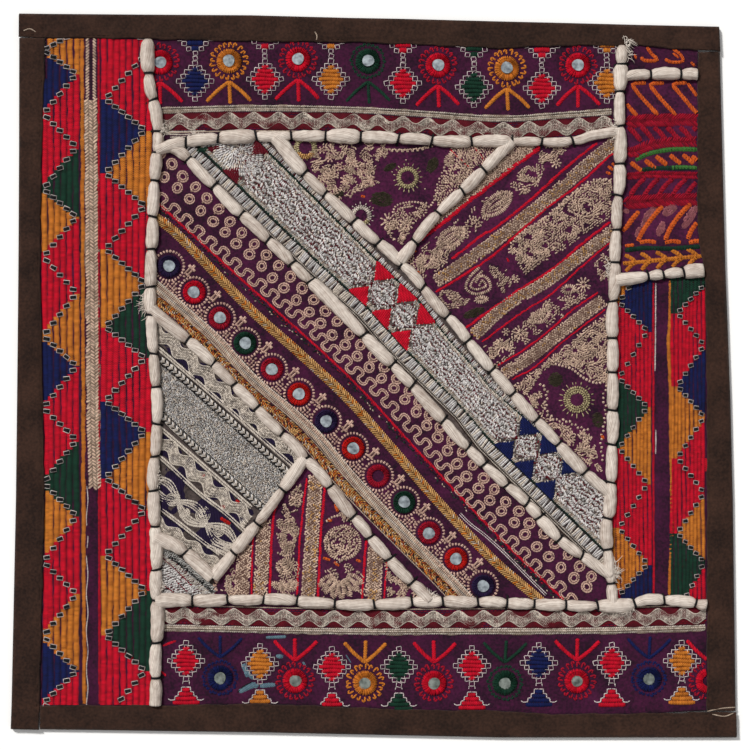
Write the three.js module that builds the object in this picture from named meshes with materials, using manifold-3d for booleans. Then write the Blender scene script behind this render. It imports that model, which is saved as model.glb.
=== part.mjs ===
// An embroidered doily: a square patchwork mat of salvaged embroidered cloth, lying flat.
// Thirteen patches meet under thick couched cotton cords, small mirror discs are held by stitched
// collars, and a strip of dark cloth is folded over each of the four edges.
// Millimetres, +Z up, origin at the middle of the underside. +Y is the top of the mat.
import * as THREE from "three";
import { mergeVertices } from "three/addons/utils/BufferGeometryUtils.js";
import Module from "manifold-3d";

const wasm = await Module();
wasm.setup();

// Driving dimensions
const GAP = 0.3; // between pieces that are sewn together
const CLOTH = 2.4; // a patch with its ground cloth and backing
const FOLD = { leaf: 1.0, wall: 1.3, roundOff: 1.1 }; // the binding's cloth, folded double at the edge
const BINDING_TOP = CLOTH + GAP + 1.2;
const CORD = { width: 7, height: 4.6, tieWidth: 0.7, tieHeight: 0.72 }; // at a tie, as shares of the full size
const SATIN = { pitch: 3.7, height: 0.7, valley: 0.1 }; // one row of satin stitches
const MIRROR = { radius: 3.6, thickness: 1.0, sides: 12 };
const COLLAR = { radius: 6.8, height: 1.5 }; // the stitched ring that holds a mirror
const LEGS = { near: 12, far: 24, spread: 12, width: 1.8 }; // of a mirror flower, from its centre
const RELIEF = { line: 0.5, braid: 0.8, pad: 0.8 }; // how far stitches stand over the ground
const WAVE = { period: 14.2, swing: 1.7, width: 5.6, below: 6.9 }; // the galloon's waved braid
const SUNK = 0.4; // how deep a raised form runs into its patch
const TALL = 12; // taller than anything here, for cuts that go right through

// The uneven outline, anticlockwise from the lower left corner
const OUTLINE = [
  [-207, -201.5], [-70.5, -203.5], [72, -206.5], [207, -206.5], [205, -71], [200.5, 71.5],
  [197, 199], [72, 202], [-70.5, 205.5], [-202, 206.5], [-202.5, 71.5], [-204, -71],
];
// The binding's inner edge, anticlockwise from the lower left corner
const FIELD = [
  [-190.5, -188], [-121.5, -188], [-64.5, -187], [-19, -188.5], [21, -190.5], [72, -191],
  [98, -193], [123.5, -193], [152, -192.5], [190, -190.5], [190, -14], [189.5, 37.5],
  [188, 68.5], [184.5, 83], [184.5, 185.5], [152, 188], [129, 189], [106.5, 188],
  [69.5, 186.5], [15, 189], [-13.5, 190], [-70.5, 190.5], [-133.5, 192], [-186.5, 192.5],
  [-189, 128.5], [-190, 71.5], [-188.5, -14], [-187.5, -71], [-188.5, -128],
];
// Where the binding strips butt at the corners: each box holds one strip
const BINDING = {
  binding_top: [[-230, 192.4], [-186.2, 192.4], [-186.2, 180], [184.2, 180], [184.2, 184.6], [230, 184.6],
    [230, 230], [-230, 230]],
  binding_bottom: [[-190, -230], [230, -230], [230, -191.8], [189.9, -191.8], [189.9, -186], [-190, -186]],
  binding_left: [[-230, -230], [-190.3, -230], [-190.3, -187.9], [-180, -187.9], [-180, 192.1], [-230, 192.1]],
  binding_right: [[190.2, -191.5], [230, -191.5], [230, 184.3], [180, 184.3], [180, -190.2], [190.2, -190.2]],
};

// Seams between patches, each covered by a cord that follows it. ties are the places along the
// axis x or y where black thread pulls the cord down. stops names the seams that end it.
const SEAMS = {
  a: {
    route: [
      [-128.5, 198], [-128, 173], [-124, 147.5], [-123, 135.5], [-125.5, 100], [-127, 43],
      [-123.5, -19.5], [-125.5, -65.5], [-124, -96.5], [-123.5, -142], [-124.5, -194],
    ],
    axis: "y",
    ties: [
      172, 157, 139, 127.5, 111, 90.5, 72, 50.5, 34.5, 12.5, -6.5, -27.5, -46.5, -65.5, -86, -110.5,
      -128.5, -152, -172.5,
    ],
    stops: [],
  },
  b: {
    route: [
      [142, 194], [140.5, 162.5], [140.5, 131.5], [139, 92], [136.5, 37.5], [136, -31], [135, -71],
      [133, -90.5], [137, -131.5],
    ],
    axis: "y",
    ties: [177.5, 162, 142, 121, 102.5, 83, 64, 42.5, 21.5, 2, -19.5, -39, -60.5, -81, -99, -118.5],
    stops: ["d"],
  },
  c: {
    route: [
      [-124, 128.5], [-107, 133], [-78, 136], [-37, 136.5], [3, 135.5], [44.5, 133.5], [109, 133.5],
      [124.5, 136.5], [140.5, 139.5],
    ],
    axis: "x",
    ties: [-107, -88, -67, -46.5, -27, -7.5, 14.5, 33.5, 56, 78.5, 95.5, 113],
    stops: ["a", "b"],
  },
  d: {
    route: [
      [-124, -128.5], [-72.5, -127.5], [-32, -129], [-10.5, -131], [31, -128.5], [72, -129.5],
      [137, -131], [157, -128], [174.5, -128.5], [196, -131.5],
    ],
    axis: "x",
    ties: [
      -103, -83, -63, -44, -22, 0.5, 22, 39.5, 59.5, 75.5, 91.5, 109.5, 127.5, 148.5, 165.5, 183.5,
    ],
    stops: ["a"],
  },
  e: {
    route: [
      [-55.5, 136.5], [-39.5, 115.5], [-11, 88], [16, 63.5], [42, 34], [79, -10], [120.5, -55],
      [135, -67.5],
    ],
    axis: "x",
    ties: [-39.5, -27.5, -11, 2.5, 16, 28, 42, 54, 67.5, 79.5, 93, 105.5, 120.5],
    stops: ["c", "b"],
  },
  f: {
    route: [
      [-116, 131], [-105.5, 123.5], [-75.5, 92], [-36, 54], [-5.5, 23], [22.5, -6], [62, -50],
      [87.5, -73], [105, -92.5], [135.5, -114],
    ],
    axis: "x",
    ties: [
      -105.5, -90.5, -75.5, -60, -46, -36, -5.5, 10.5, 22.5, 40, 53.5, 63, 75.5, 87.5, 94.5, 105.5,
      118.5,
    ],
    stops: ["c", "b"],
  },
  g: {
    route: [
      [-127, 38.5], [-105.5, 20], [-91.5, 7], [-52, -33.5], [-25, -63], [-2, -92], [32, -128.5],
    ],
    axis: "x",
    ties: [-105.5, -91.5, -79.5, -66.5, -52, -38.5, -25, -11.5, -2, 9, 22],
    stops: ["a", "d"],
  },
  h: {
    route: [[79, 133.5], [50.5, 105], [37, 92.5], [14.5, 65]],
    axis: "x",
    ties: [63, 50.5, 37, 23.5],
    stops: ["c", "e"],
  },
  i: {
    route: [[-39, -47], [-66, -84], [-91.5, -115]],
    axis: "x",
    ties: [-52, -66, -79.5],
    stops: ["g", "j"],
  },
  j: {
    route: [[-124.5, -92.5], [-107.5, -100.5], [-91.5, -115]],
    axis: "x",
    ties: [-107.5],
    stops: ["a"],
    width: 9,
  },
  k: {
    route: [[140.5, 170], [157.5, 171.5], [190, 171.5]],
    axis: "x",
    ties: [157.5, 175.5],
    stops: ["b"],
  },
  l: {
    route: [[138, 54.5], [156, 56.5], [194, 60.5]],
    axis: "x",
    ties: [156, 165, 176.5],
    stops: ["b"],
  },
};
// The one seam with no cord: the corner patch laps against the striped triangle
const BARE_SEAM = [[-91.5, -115], [-90, -128]];

// How far a patch's rough outline reaches past the mat's edge, where the outline then cuts it
const OUTSIDE = 215;
// The corners where seams meet, named after the seams
const CORNERS = {
  ac: [-124, 128.5], cf: [-116, 131], ce: [-55.5, 136.5], ch: [79, 133.5], bc: [140.5, 139.5],
  eh: [14.5, 65], be: [135, -67.5], bf: [135.5, -114], bd: [137, -131], ag: [-127, 38.5],
  gi: [-39, -47], ij: [-91.5, -115], aj: [-124.5, -92.5], dg: [32, -128.5], ad: [-124, -128.5],
  dn: [-90, -128], bk: [140.5, 170], bl: [138, 54.5],
};

// Stops the build with a plain message when a value is wrong
function must(condition, message) {
  if (!condition) throw new Error(message);
}

// The points of a seam that lie strictly between two of its places
function between(name, from, to) {
  const axis = SEAMS[name].axis === "x" ? 0 : 1;
  const low = Math.min(from[axis], to[axis]) + 1;
  const high = Math.max(from[axis], to[axis]) - 1;
  const points = SEAMS[name].route.filter((p) => p[axis] > low && p[axis] < high);
  const forward = (to[axis] - from[axis]) * (SEAMS[name].route.at(-1)[axis] - SEAMS[name].route[0][axis]) > 0;
  return forward ? points : points.reverse();
}

// A patch's outline from a walk such as ["ac", "c", "cf", "f", "bf"]: corners and the seams between
function walk(steps) {
  const corner = (step) => (typeof step === "string" ? CORNERS[step] : step);
  const points = [];
  steps.forEach((step, index) => {
    if (typeof step === "string" && step in SEAMS) {
      const before = corner(steps[index - 1]);
      const after = corner(steps[(index + 1) % steps.length]);
      points.push(...between(step, before, after));
      return;
    }
    must(Array.isArray(corner(step)), "unknown corner " + step);
    points.push(corner(step));
  });
  return points;
}

// Shifts a line or a closed outline to its left by a distance, with mitred corners
function shifted(points, distance, closed = false) {
  const count = points.length;
  return points.map((p, index) => {
    const before = points[(index - 1 + count) % count];
    const after = points[(index + 1) % count];
    const useBefore = closed || index > 0;
    const useAfter = closed || index < count - 1;
    const sides = [];
    if (useBefore) sides.push(new THREE.Vector2(p[0] - before[0], p[1] - before[1]).normalize());
    if (useAfter) sides.push(new THREE.Vector2(after[0] - p[0], after[1] - p[1]).normalize());
    const normals = sides.map((side) => new THREE.Vector2(-side.y, side.x));
    const mitre = normals.reduce((sum, normal) => sum.clone().add(normal)).normalize();
    const reach = distance / Math.max(0.4, mitre.dot(normals[0]));
    return [p[0] + mitre.x * reach, p[1] + mitre.y * reach];
  });
}

// The outline of a strip of even width along a line
function strip(points, width) {
  return [...shifted(points, -width / 2), ...shifted(points, width / 2).reverse()];
}

function shapeOf(points) {
  return new THREE.Shape(points.map(([x, y]) => new THREE.Vector2(x, y)));
}

// A flat plate of a given outline between two heights
function plate(points, low, high) {
  return new THREE.ExtrudeGeometry(shapeOf(points), { depth: high - low, bevelEnabled: false }).translate(
    0, 0, low,
  );
}

// A raised form over the cloth, run a little into it
function raised(points, height) {
  return solidOf(plate(points, CLOTH - SUNK, CLOTH + height));
}

function line(points, width, height = RELIEF.line) {
  return raised(strip(points, width), height);
}

// A geometry as a closed solid that can be joined and cut
function solidOf(geometry) {
  const bare = geometry.clone();
  for (const name of ["normal", "uv"]) bare.deleteAttribute(name);
  const merged = mergeVertices(bare, 1e-4);
  return new wasm.Manifold(
    new wasm.Mesh({
      numProp: 3,
      vertProperties: new Float32Array(merged.attributes.position.array),
      triVerts: new Uint32Array(merged.index.array),
    }),
  );
}

function joined(solids) {
  return solids.reduce((all, one) => all.add(one));
}

// The largest body of a solid: a cut along a seam can leave a sliver beside a corner
function largest(solid) {
  return solid.decompose().reduce((best, one) => (one.volume() > best.volume() ? one : best));
}

// A solid back as a geometry, with flat faces
function geometryOf(solid) {
  const mesh = solid.getMesh();
  const positions = new Float32Array(mesh.numVert * 3);
  for (let index = 0; index < mesh.numVert; index += 1) {
    const at = index * mesh.numProp;
    positions.set(mesh.vertProperties.subarray(at, at + 3), index * 3);
  }
  const geometry = new THREE.BufferGeometry();
  geometry.setAttribute("position", new THREE.BufferAttribute(positions, 3));
  geometry.setIndex(new THREE.BufferAttribute(new Uint32Array(mesh.triVerts), 1));
  geometry.computeVertexNormals();
  return geometry;
}

// Satin rows side by side that run along +Y, as one plate with a rippled top
function satinRows({ right, from, to, rows }) {
  const { pitch, height, valley } = SATIN;
  const profile = [[0, CLOTH - SUNK]];
  for (let row = 0; row < rows; row += 1) {
    profile.push([row * pitch, CLOTH + valley]);
    profile.push([(row + 0.25) * pitch, CLOTH + 0.85 * height]);
    profile.push([(row + 0.75) * pitch, CLOTH + height]);
  }
  profile.push([rows * pitch, CLOTH + valley], [rows * pitch, CLOTH - SUNK]);
  const ribs = new THREE.ExtrudeGeometry(shapeOf(profile), { depth: to - from, bevelEnabled: false });
  // The profile's x runs across the rows, its y is the height, and the extrusion is the rows' length
  const basis = new THREE.Matrix4().makeBasis(
    new THREE.Vector3(-1, 0, 0), new THREE.Vector3(0, 0, 1), new THREE.Vector3(0, 1, 0),
  );
  return solidOf(ribs.applyMatrix4(basis.setPosition(right, from, 0)));
}

function circle([x, y], radius, sides) {
  return Array.from({ length: sides }, (_, index) => {
    const turn = ((index + 0.5) / sides) * 2 * Math.PI;
    return [x + radius * Math.cos(turn), y + radius * Math.sin(turn)];
  });
}

// The hole in a collar that a mirror lies in
function bore(centre) {
  return solidOf(plate(circle(centre, MIRROR.radius + GAP, MIRROR.sides), CLOTH, TALL));
}

// The ring of stitches round a mirror, or round the bare place of a lost one
function collar({ centre, radius, height }) {
  return raised(circle(centre, radius, MIRROR.sides), height).subtract(bore(centre));
}

function diamond([x, y], halfWidth, halfHeight) {
  return [[x - halfWidth, y], [x, y - halfHeight], [x + halfWidth, y], [x, y + halfHeight]];
}

// A mirror flower's three legs: bars that spread from one point, down (-1) or up (+1)
function legs([x, y], way) {
  const { near, far, spread, width } = LEGS;
  const foot = [x, y + way * near];
  return [-spread, 0, spread].map((side) => line([foot, [x + side, y + way * far]], width, RELIEF.braid));
}

// The galloon's waved braid, on a line that follows the straight one at a distance, with two
// high points and two low ones in each wave
function wavedBraid(base, distance) {
  const perWave = 4;
  const path = new THREE.CurvePath();
  const points = shifted(base, distance);
  for (let index = 1; index < points.length; index += 1) {
    const [from, to] = [points[index - 1], points[index]].map(([x, y]) => new THREE.Vector2(x, y));
    path.add(new THREE.LineCurve(from, to));
  }
  const samples = Math.round((path.getLength() / WAVE.period) * perWave);
  const centre = path.getSpacedPoints(samples).map(({ x, y }, index) => {
    return [x, y + WAVE.swing * Math.SQRT2 * Math.sin(((index + 0.5) / perWave) * 2 * Math.PI)];
  });
  return line(centre, WAVE.width, RELIEF.braid);
}

// Mirror flowers, diamonds and half diamonds of a strip. way is -1 where the legs point down.
const FLOWERS = {
  top_strip: {
    way: -1,
    mirrors: [
      [-121.5, 178.5], [-82.5, 179.5], [-43, 180.5], [-3, 179.5], [37, 177], [76, 175.5], [116.5, 177],
    ],
    diamonds: [
      [-101.5, 168], [-62, 169], [-24, 169], [17, 166.5], [57.5, 164.5], [96, 164], [133, 166.5],
    ],
    galloon: [
      [-124, 151.5], [-70.5, 152.5], [-13.5, 151.5], [32, 149], [72, 146.5], [106.5, 148.5], [142, 150],
    ],
  },
  bottom_strip: {
    way: 1,
    mirrors: [
      [-87.5, -172.5], [-44.5, -174], [-5, -175.5], [34.5, -175.5], [75, -175.5], [116, -174], [157, -173],
    ],
    diamonds: [
      [-107, -162.5], [-64.5, -164.5], [-23.5, -166], [14.5, -166], [56, -165.5], [94.5, -164],
      [136, -164], [176, -162.5],
    ],
    galloon: [[-124, -143.5], [15, -145.5], [190, -144.5]],
  },
};
const BAND_MIRRORS = [
  [-116.5, 62.5], [-102.5, 47.5], [-87.5, 33], [-73, 18.5], [-58, 3.5], [-42.5, -10.5], [-27, -26],
  [-11.5, -41.5], [17.5, -72], [31.5, -90], [47, -104.5], [62.5, -120],
];
// Collars whose mirror is lost, or that hold only thread
const EMPTY_COLLARS = {
  mirror_band: [{ centre: [3, -57], radius: COLLAR.radius, height: COLLAR.height }],
  upper_triangle: [
    { centre: [19.5, 112.5], radius: 6.8, height: RELIEF.pad },
    { centre: [-38.5, 129.5], radius: 6.8, height: RELIEF.pad },
    { centre: [-7.5, 92], radius: 6.8, height: RELIEF.pad },
  ],
  striped_trapezoid: [{ centre: [116, -14], radius: 7.2, height: RELIEF.pad }],
};
// Fields of long satin rows: the x of their right side, the y of both ends, and how many rows
const SATIN_FIELDS = {
  left_panel: [
    { right: -167.6, from: -200, to: 200, rows: 6 },
    { right: -126, from: -200, to: 200, rows: 8 },
  ],
  right_panel: [
    { right: 158.4, from: -140, to: 70, rows: 6 },
    { right: 192.8, from: -140, to: 70, rows: 6 },
  ],
};
// Stitched lines, braids and galloons
const STRIPES = {
  left_panel: [
    { what: "gold line", route: [[-166, -200], [-166, 200]], width: 2.8, height: RELIEF.line },
    { what: "beige braid", route: [[-160.5, -64], [-159.5, 20], [-161, 200]], width: 7, height: RELIEF.braid },
    { what: "red line", route: [[-156.3, -200], [-156.3, 200]], width: 1.6, height: RELIEF.line },
  ],
  right_panel: [
    { what: "red line", route: [[159.6, -140], [159.6, 70]], width: 1.6, height: RELIEF.line },
    { what: "gold line", route: [[169, -140], [169, 70]], width: 2.6, height: RELIEF.line },
  ],
  leaf_patch: [
    { what: "crimson herringbone", route: [[141, 145.5], [186, 145.5]], width: 5.5, height: RELIEF.braid },
    { what: "crimson arcs", route: [[141, 132], [186, 133]], width: 5, height: RELIEF.line },
    { what: "green line", route: [[149, 121.5], [188, 128.5]], width: 1.8, height: RELIEF.line },
    { what: "crimson line", route: [[141, 113], [188, 115]], width: 3.4, height: RELIEF.line },
    { what: "crimson herringbone", route: [[141, 100.5], [188, 102]], width: 6, height: RELIEF.braid },
    { what: "green line", route: [[141, 73.5], [188, 75]], width: 1.8, height: RELIEF.line },
    { what: "orange vine", route: [[141, 64.5], [188, 69]], width: 7, height: RELIEF.braid },
  ],
  mirror_band: [
    {
      what: "red line",
      route: [[-122.5, 98], [-70.5, 50.5], [-15.5, 1], [26, -43.5], [72, -92.5], [112, -129]],
      width: 1.8,
      height: RELIEF.line,
    },
    {
      what: "gold braid",
      route: [
        [-127, 92.5], [-109.5, 78.5], [-70.5, 38], [-15.5, -12.5], [34, -68.5], [66, -103], [95, -129],
      ],
      width: 4.8,
      height: RELIEF.braid,
    },
    {
      what: "beige lines",
      route: [[-128, 54], [-92, 23], [-34, -33], [-6.5, -64.5], [52, -129]],
      width: 5.4,
      height: RELIEF.line,
    },
    {
      what: "rust braid",
      route: [[-128, 47], [-106.5, 29], [-43, -33], [-12.5, -67.5], [47, -129]],
      width: 4.6,
      height: RELIEF.braid,
    },
  ],
  striped_trapezoid: [
    { what: "red line", route: [[52, 97], [100, 133]], width: 1.6, height: RELIEF.line },
    { what: "red line", route: [[58, 77], [114, 119]], width: 1.6, height: RELIEF.line },
    { what: "beige braid", route: [[50, 66], [132, 127]], width: 6.5, height: RELIEF.braid },
    { what: "red line", route: [[55, 61], [136, 123]], width: 1.6, height: RELIEF.line },
    { what: "red line", route: [[70, 41], [136, 85]], width: 1.6, height: RELIEF.line },
    { what: "beige braid", route: [[66, 33], [136, 79.5]], width: 6.5, height: RELIEF.braid },
    { what: "red line", route: [[70, 27], [136, 72]], width: 1.6, height: RELIEF.line },
    { what: "red line", route: [[72, 6], [134, 51]], width: 1.6, height: RELIEF.line },
    { what: "beige braid", route: [[75, 0.5], [134, 44]], width: 5.5, height: RELIEF.braid },
    { what: "red line", route: [[80, -3], [134, 37]], width: 1.6, height: RELIEF.line },
  ],
  silver_patch: [
    { what: "galloon", route: [[-121, 22.5], [-47.5, -43.5]], width: 6.5, height: RELIEF.braid },
    { what: "silver line", route: [[-121, 15], [-47.5, -50.5]], width: 2, height: RELIEF.line },
    { what: "silver field", route: [[-121, 2], [-54, -59]], width: 15, height: RELIEF.braid },
    { what: "chevron chain", route: [[-121, -18], [-70, -67]], width: 3.4, height: RELIEF.line },
    { what: "galloon", route: [[-121, -29], [-74, -74]], width: 6, height: RELIEF.braid },
    { what: "galloon", route: [[-121, -78], [-88, -105]], width: 6.5, height: RELIEF.braid },
  ],
  striped_triangle: [
    { what: "red line", route: [[-68.5, -129], [-67, -45]], width: 1.6, height: RELIEF.line },
    { what: "beige field", route: [[-62.5, -129], [-61, -45]], width: 8, height: RELIEF.pad },
    { what: "red line", route: [[-57, -129], [-55.5, -45]], width: 1.6, height: RELIEF.line },
    { what: "red line", route: [[-42.5, -129], [-41, -45]], width: 1.6, height: RELIEF.line },
    { what: "beige braid", route: [[-35.5, -129], [-34, -45]], width: 8, height: RELIEF.braid },
    { what: "red line", route: [[-30, -129], [-28.5, -45]], width: 1.6, height: RELIEF.line },
    { what: "red line", route: [[-5.5, -129], [-4, -45]], width: 1.6, height: RELIEF.line },
    { what: "beige braid", route: [[0.5, -129], [2, -45]], width: 9, height: RELIEF.braid },
    { what: "red line", route: [[7, -129], [8.5, -45]], width: 1.6, height: RELIEF.line },
  ],
};
// Rows of slanted orange leaves: the first one's foot, the step to the next, and a leaf's run
const LEAF_ROWS = [
  { count: 4, first: [146, 168], step: [11.5, 0], run: [12.5, -17], width: 3.2 },
  { count: 4, first: [144, 78], step: [11.5, 0.5], run: [9.5, 18], width: 3.2 },
];
// The silver band's chip-stitched field: its two long sides, where coloured cloth shows in
// notches, and the rows of satin blocks outside the sides
const SILVER = {
  upper: [[-74, 140], [1.5, 65.5], [135, -68.5]],
  lower: [[-108, 139], [-4.5, 37.5], [133, -100.5]],
  upperNotches: [[-62, 129], [7, 60], [20, 47.5], [32.5, 34.5], [89.5, -24.5], [101.5, -36.5], [112.5, -47]],
  lowerNotches: [[-81.5, 116], [-11, 42.5], [2, 30.5], [14, 19], [74, -44], [86.5, -55.5], [99, -67.5]],
  notch: { half: 5.5, reach: 8.5 },
  inset: 1.5,
  blocks: { away: 3, width: 4 },
};

function flowerStrip({ way, mirrors, diamonds, galloon }) {
  const size = { halfWidth: 7.2, halfHeight: 8.6, toNext: 22, line: 3.4 };
  const forms = [line(galloon, size.line), wavedBraid(galloon, way * WAVE.below)];
  for (const mirror of mirrors) forms.push(collar({ centre: mirror, ...COLLAR }), ...legs(mirror, way));
  for (const [x, y] of diamonds) {
    for (const middle of [y, y - way * size.toNext]) {
      forms.push(raised(diamond([x, middle], size.halfWidth, size.halfHeight), RELIEF.pad));
    }
  }
  return forms;
}

function leafRow({ count, first, step, run, width }) {
  return Array.from({ length: count }, (_, index) => {
    const [x, y] = [first[0] + index * step[0], first[1] + index * step[1]];
    return line([[x, y], [x + run[0], y + run[1]]], width, RELIEF.braid);
  });
}

function silverField() {
  const { upper, lower, upperNotches, lowerNotches, inset, blocks } = SILVER;
  const notch = ([x, y], way) => {
    const { half } = SILVER.notch;
    const reach = SILVER.notch.reach * way;
    return solidOf(plate([[x - half, y + half], [x + half, y - half], [x + reach, y + reach]], CLOTH, TALL));
  };
  const cuts = [...upperNotches.map((p) => notch(p, -1)), ...lowerNotches.map((p) => notch(p, 1))];
  return [
    raised([...shifted(lower, inset), ...shifted(upper, -inset).reverse()], RELIEF.pad).subtract(joined(cuts)),
    line(shifted(upper, blocks.away), blocks.width, RELIEF.pad),
    line(shifted(lower, -blocks.away), blocks.width, RELIEF.pad),
  ];
}

// All the raised forms of a patch
function reliefOf(name) {
  const forms = [];
  if (name in FLOWERS) forms.push(...flowerStrip(FLOWERS[name]));
  if (name === "leaf_patch") forms.push(...LEAF_ROWS.flatMap(leafRow));
  if (name === "silver_band") forms.push(...silverField());
  if (name === "mirror_band") forms.push(...BAND_MIRRORS.map((centre) => collar({ centre, ...COLLAR })));
  forms.push(...(EMPTY_COLLARS[name] ?? []).map(collar));
  forms.push(...(SATIN_FIELDS[name] ?? []).map(satinRows));
  forms.push(...(STRIPES[name] ?? []).map(({ route, width, height }) => line(route, width, height)));
  return forms;
}

// Every patch: the walk round its outline and its main colour
const PATCHES = {
  left_panel: {
    outline: [
      "ad", "a", [-124.5, -OUTSIDE], [-OUTSIDE, -OUTSIDE], [-OUTSIDE, OUTSIDE], [-128.5, OUTSIDE], "a",
    ],
    color: 0x96071f,
  },
  top_strip: { outline: ["ac", "a", [-128.5, OUTSIDE], [142, OUTSIDE], "b", "bc", "c"], color: 0x391322 },
  edge_patch: {
    outline: ["bk", "b", [142, OUTSIDE], [OUTSIDE, OUTSIDE], [OUTSIDE, 171.5], "k"],
    color: 0x3c1c3c,
  },
  leaf_patch: { outline: ["bl", "b", "bk", "k", [OUTSIDE, 171.5], [OUTSIDE, 62.5], "l"], color: 0x5c2030 },
  right_panel: { outline: ["bd", "d", [OUTSIDE, -131.5], [OUTSIDE, 62.5], "l", "bl", "b"], color: 0xa00a22 },
  bottom_strip: {
    outline: ["ad", "a", [-124.5, -OUTSIDE], [OUTSIDE, -OUTSIDE], [OUTSIDE, -131.5], "d"],
    color: 0x391322,
  },
  upper_triangle: { outline: ["ce", "c", "ch", "h", "eh", "e"], color: 0x4a2036 },
  striped_trapezoid: { outline: ["ch", "c", "bc", "b", "be", "e", "eh", "h"], color: 0x8d665e },
  silver_band: { outline: ["cf", "c", "ce", "e", "be", "b", "bf", "f"], color: 0x85817c },
  mirror_band: {
    outline: ["ag", "a", "ac", "c", "cf", "f", "bf", "b", "bd", "d", "dg", "g"],
    color: 0x3c1c3c,
  },
  silver_patch: { outline: ["ag", "g", "gi", "i", "ij", "j", "aj", "a"], color: 0x85817c },
  striped_triangle: { outline: ["gi", "g", "dg", "d", "dn", "ij", "i"], color: 0x8d665e },
  corner_patch: { outline: ["aj", "j", "ij", "dn", "d", "ad", "a"], color: 0x85817c },
};

function curveOf(route) {
  return new THREE.CatmullRomCurve3(route.map(([x, y]) => new THREE.Vector3(x, y, 0)), false, "centripetal");
}

// A cord: a bundle with a flat underside that swells between its ties
function cordSolid({ route, axis, ties, width = CORD.width }) {
  const curve = curveOf(route);
  const falling = curve.getPoint(1)[axis] < curve.getPoint(0)[axis];
  // The share of the curve at which it reaches a place on its axis
  const shareAt = (place) => {
    let [low, high] = [0, 1];
    for (let pass = 0; pass < 30; pass += 1) {
      const middle = (low + high) / 2;
      if (curve.getPointAt(middle)[axis] > place === falling) low = middle;
      else high = middle;
    }
    return low;
  };
  // Between two ties the bundle is narrow at the first third's start and full at the other two
  const swell = [0, 1, 1];
  const shares = [0, ...ties.map(shareAt).sort((p, q) => p - q), 1];
  const stations = [];
  for (let index = 1; index < shares.length; index += 1) {
    const [from, to] = [shares[index - 1], shares[index]];
    swell.forEach((full, step) => stations.push({ share: from + ((to - from) * step) / swell.length, full }));
  }
  stations.push({ share: 1, full: 0 });
  // Across and up, as shares of half the width and of the height
  const section = [[1, 0.3], [0.78, 0.78], [0, 1], [-0.78, 0.78], [-1, 0.3], [-0.7, 0], [0.7, 0]];
  const positions = [];
  for (const { share, full } of stations) {
    const middle = curve.getPointAt(share);
    const ahead = curve.getTangentAt(share);
    const half = (width / 2) * (full || CORD.tieWidth);
    const height = CORD.height * (full || CORD.tieHeight);
    for (const [across, up] of section) {
      positions.push(middle.x + ahead.y * across * half, middle.y - ahead.x * across * half);
      positions.push(CLOTH + GAP + up * height);
    }
  }
  const sides = section.length;
  const faces = [];
  for (let ring = 0; ring + 1 < stations.length; ring += 1) {
    for (let side = 0; side < sides; side += 1) {
      const [a, b] = [ring * sides + side, ring * sides + ((side + 1) % sides)];
      faces.push(a, a + sides, b, b, a + sides, b + sides);
    }
  }
  const last = (stations.length - 1) * sides;
  for (let side = 1; side + 1 < sides; side += 1) {
    faces.push(0, side, side + 1);
    faces.push(last, last + side + 1, last + side);
  }
  const geometry = new THREE.BufferGeometry();
  geometry.setAttribute("position", new THREE.Float32BufferAttribute(positions, 3));
  geometry.setIndex(faces);
  return solidOf(geometry);
}

function mirrorGeometry([x, y]) {
  const disc = new THREE.CylinderGeometry(MIRROR.radius, MIRROR.radius, MIRROR.thickness, MIRROR.sides);
  // Turned so that its corners stand over the corners of the hole that it lies in
  disc.rotateY(Math.PI / 2 + Math.PI / MIRROR.sides).rotateX(Math.PI / 2);
  return disc.translate(x, y, CLOTH + GAP + MIRROR.thickness / 2);
}

const doily = new THREE.Group();

function add(name, geometry, color, roughness, metalness = 0) {
  const mesh = new THREE.Mesh(geometry, new THREE.MeshStandardMaterial({ color, roughness, metalness }));
  mesh.name = name;
  doily.add(mesh);
}

// A solid that goes right through the mat, for cuts
function through(points) {
  return solidOf(plate(points, -1, TALL));
}

// The folded binding: a rounded frame with a slot for the patchwork's edge, in four strips
function rounded(points, height, radius) {
  const geometry = new THREE.ExtrudeGeometry(shapeOf(points), {
    depth: height - 2 * radius,
    bevelThickness: radius,
    bevelSize: radius,
    bevelOffset: -radius,
    bevelSegments: 2,
  });
  return solidOf(geometry.translate(0, 0, radius));
}
const whole = rounded(OUTLINE, BINDING_TOP, FOLD.roundOff);
const slot = solidOf(plate(shifted(OUTLINE, FOLD.wall, true), FOLD.leaf, CLOTH + GAP));
const frame = whole.subtract(through(FIELD)).subtract(slot);
for (const [name, box] of Object.entries(BINDING)) {
  add(name, geometryOf(largest(frame.intersect(through(box)))), 0x38271f, 0.9);
}

// The way that a cord takes up, with a little room on both sides
function corridor({ route, width = CORD.width }, spare = 0) {
  return through(strip(route, width + 2 * (GAP + spare)));
}

// The patches: cut apart along the seams, thinned where the binding folds round their edge, and
// with raised stitches only where no cord, mirror or binding lies
const BESIDE_CORD = 0.6;
const allMirrors = [...FLOWERS.top_strip.mirrors, ...FLOWERS.bottom_strip.mirrors, ...BAND_MIRRORS];
const seamLines = [...Object.values(SEAMS).map(({ route }) => route), BARE_SEAM];
const kerfs = joined(seamLines.map((route) => through(strip(route, GAP))));
const sheet = solidOf(plate(shifted(OUTLINE, FOLD.wall + GAP, true), 0, CLOTH));
const openField = through(shifted(FIELD, GAP, true));
const underFold = solidOf(plate(OUTLINE, -1, FOLD.leaf + GAP)).subtract(openField);
const cordWays = joined(Object.values(SEAMS).map((seam) => corridor(seam, BESIDE_CORD)));
const reliefField = openField.subtract(cordWays).subtract(joined(allMirrors.map(bore)));
for (const [name, { outline, color }] of Object.entries(PATCHES)) {
  const area = through(walk(outline)).subtract(kerfs);
  const forms = reliefOf(name);
  let patch = sheet.subtract(underFold);
  if (forms.length) patch = patch.add(joined(forms).intersect(reliefField));
  add(name, geometryOf(largest(patch.intersect(area))), color, 0.9);
}

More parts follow.
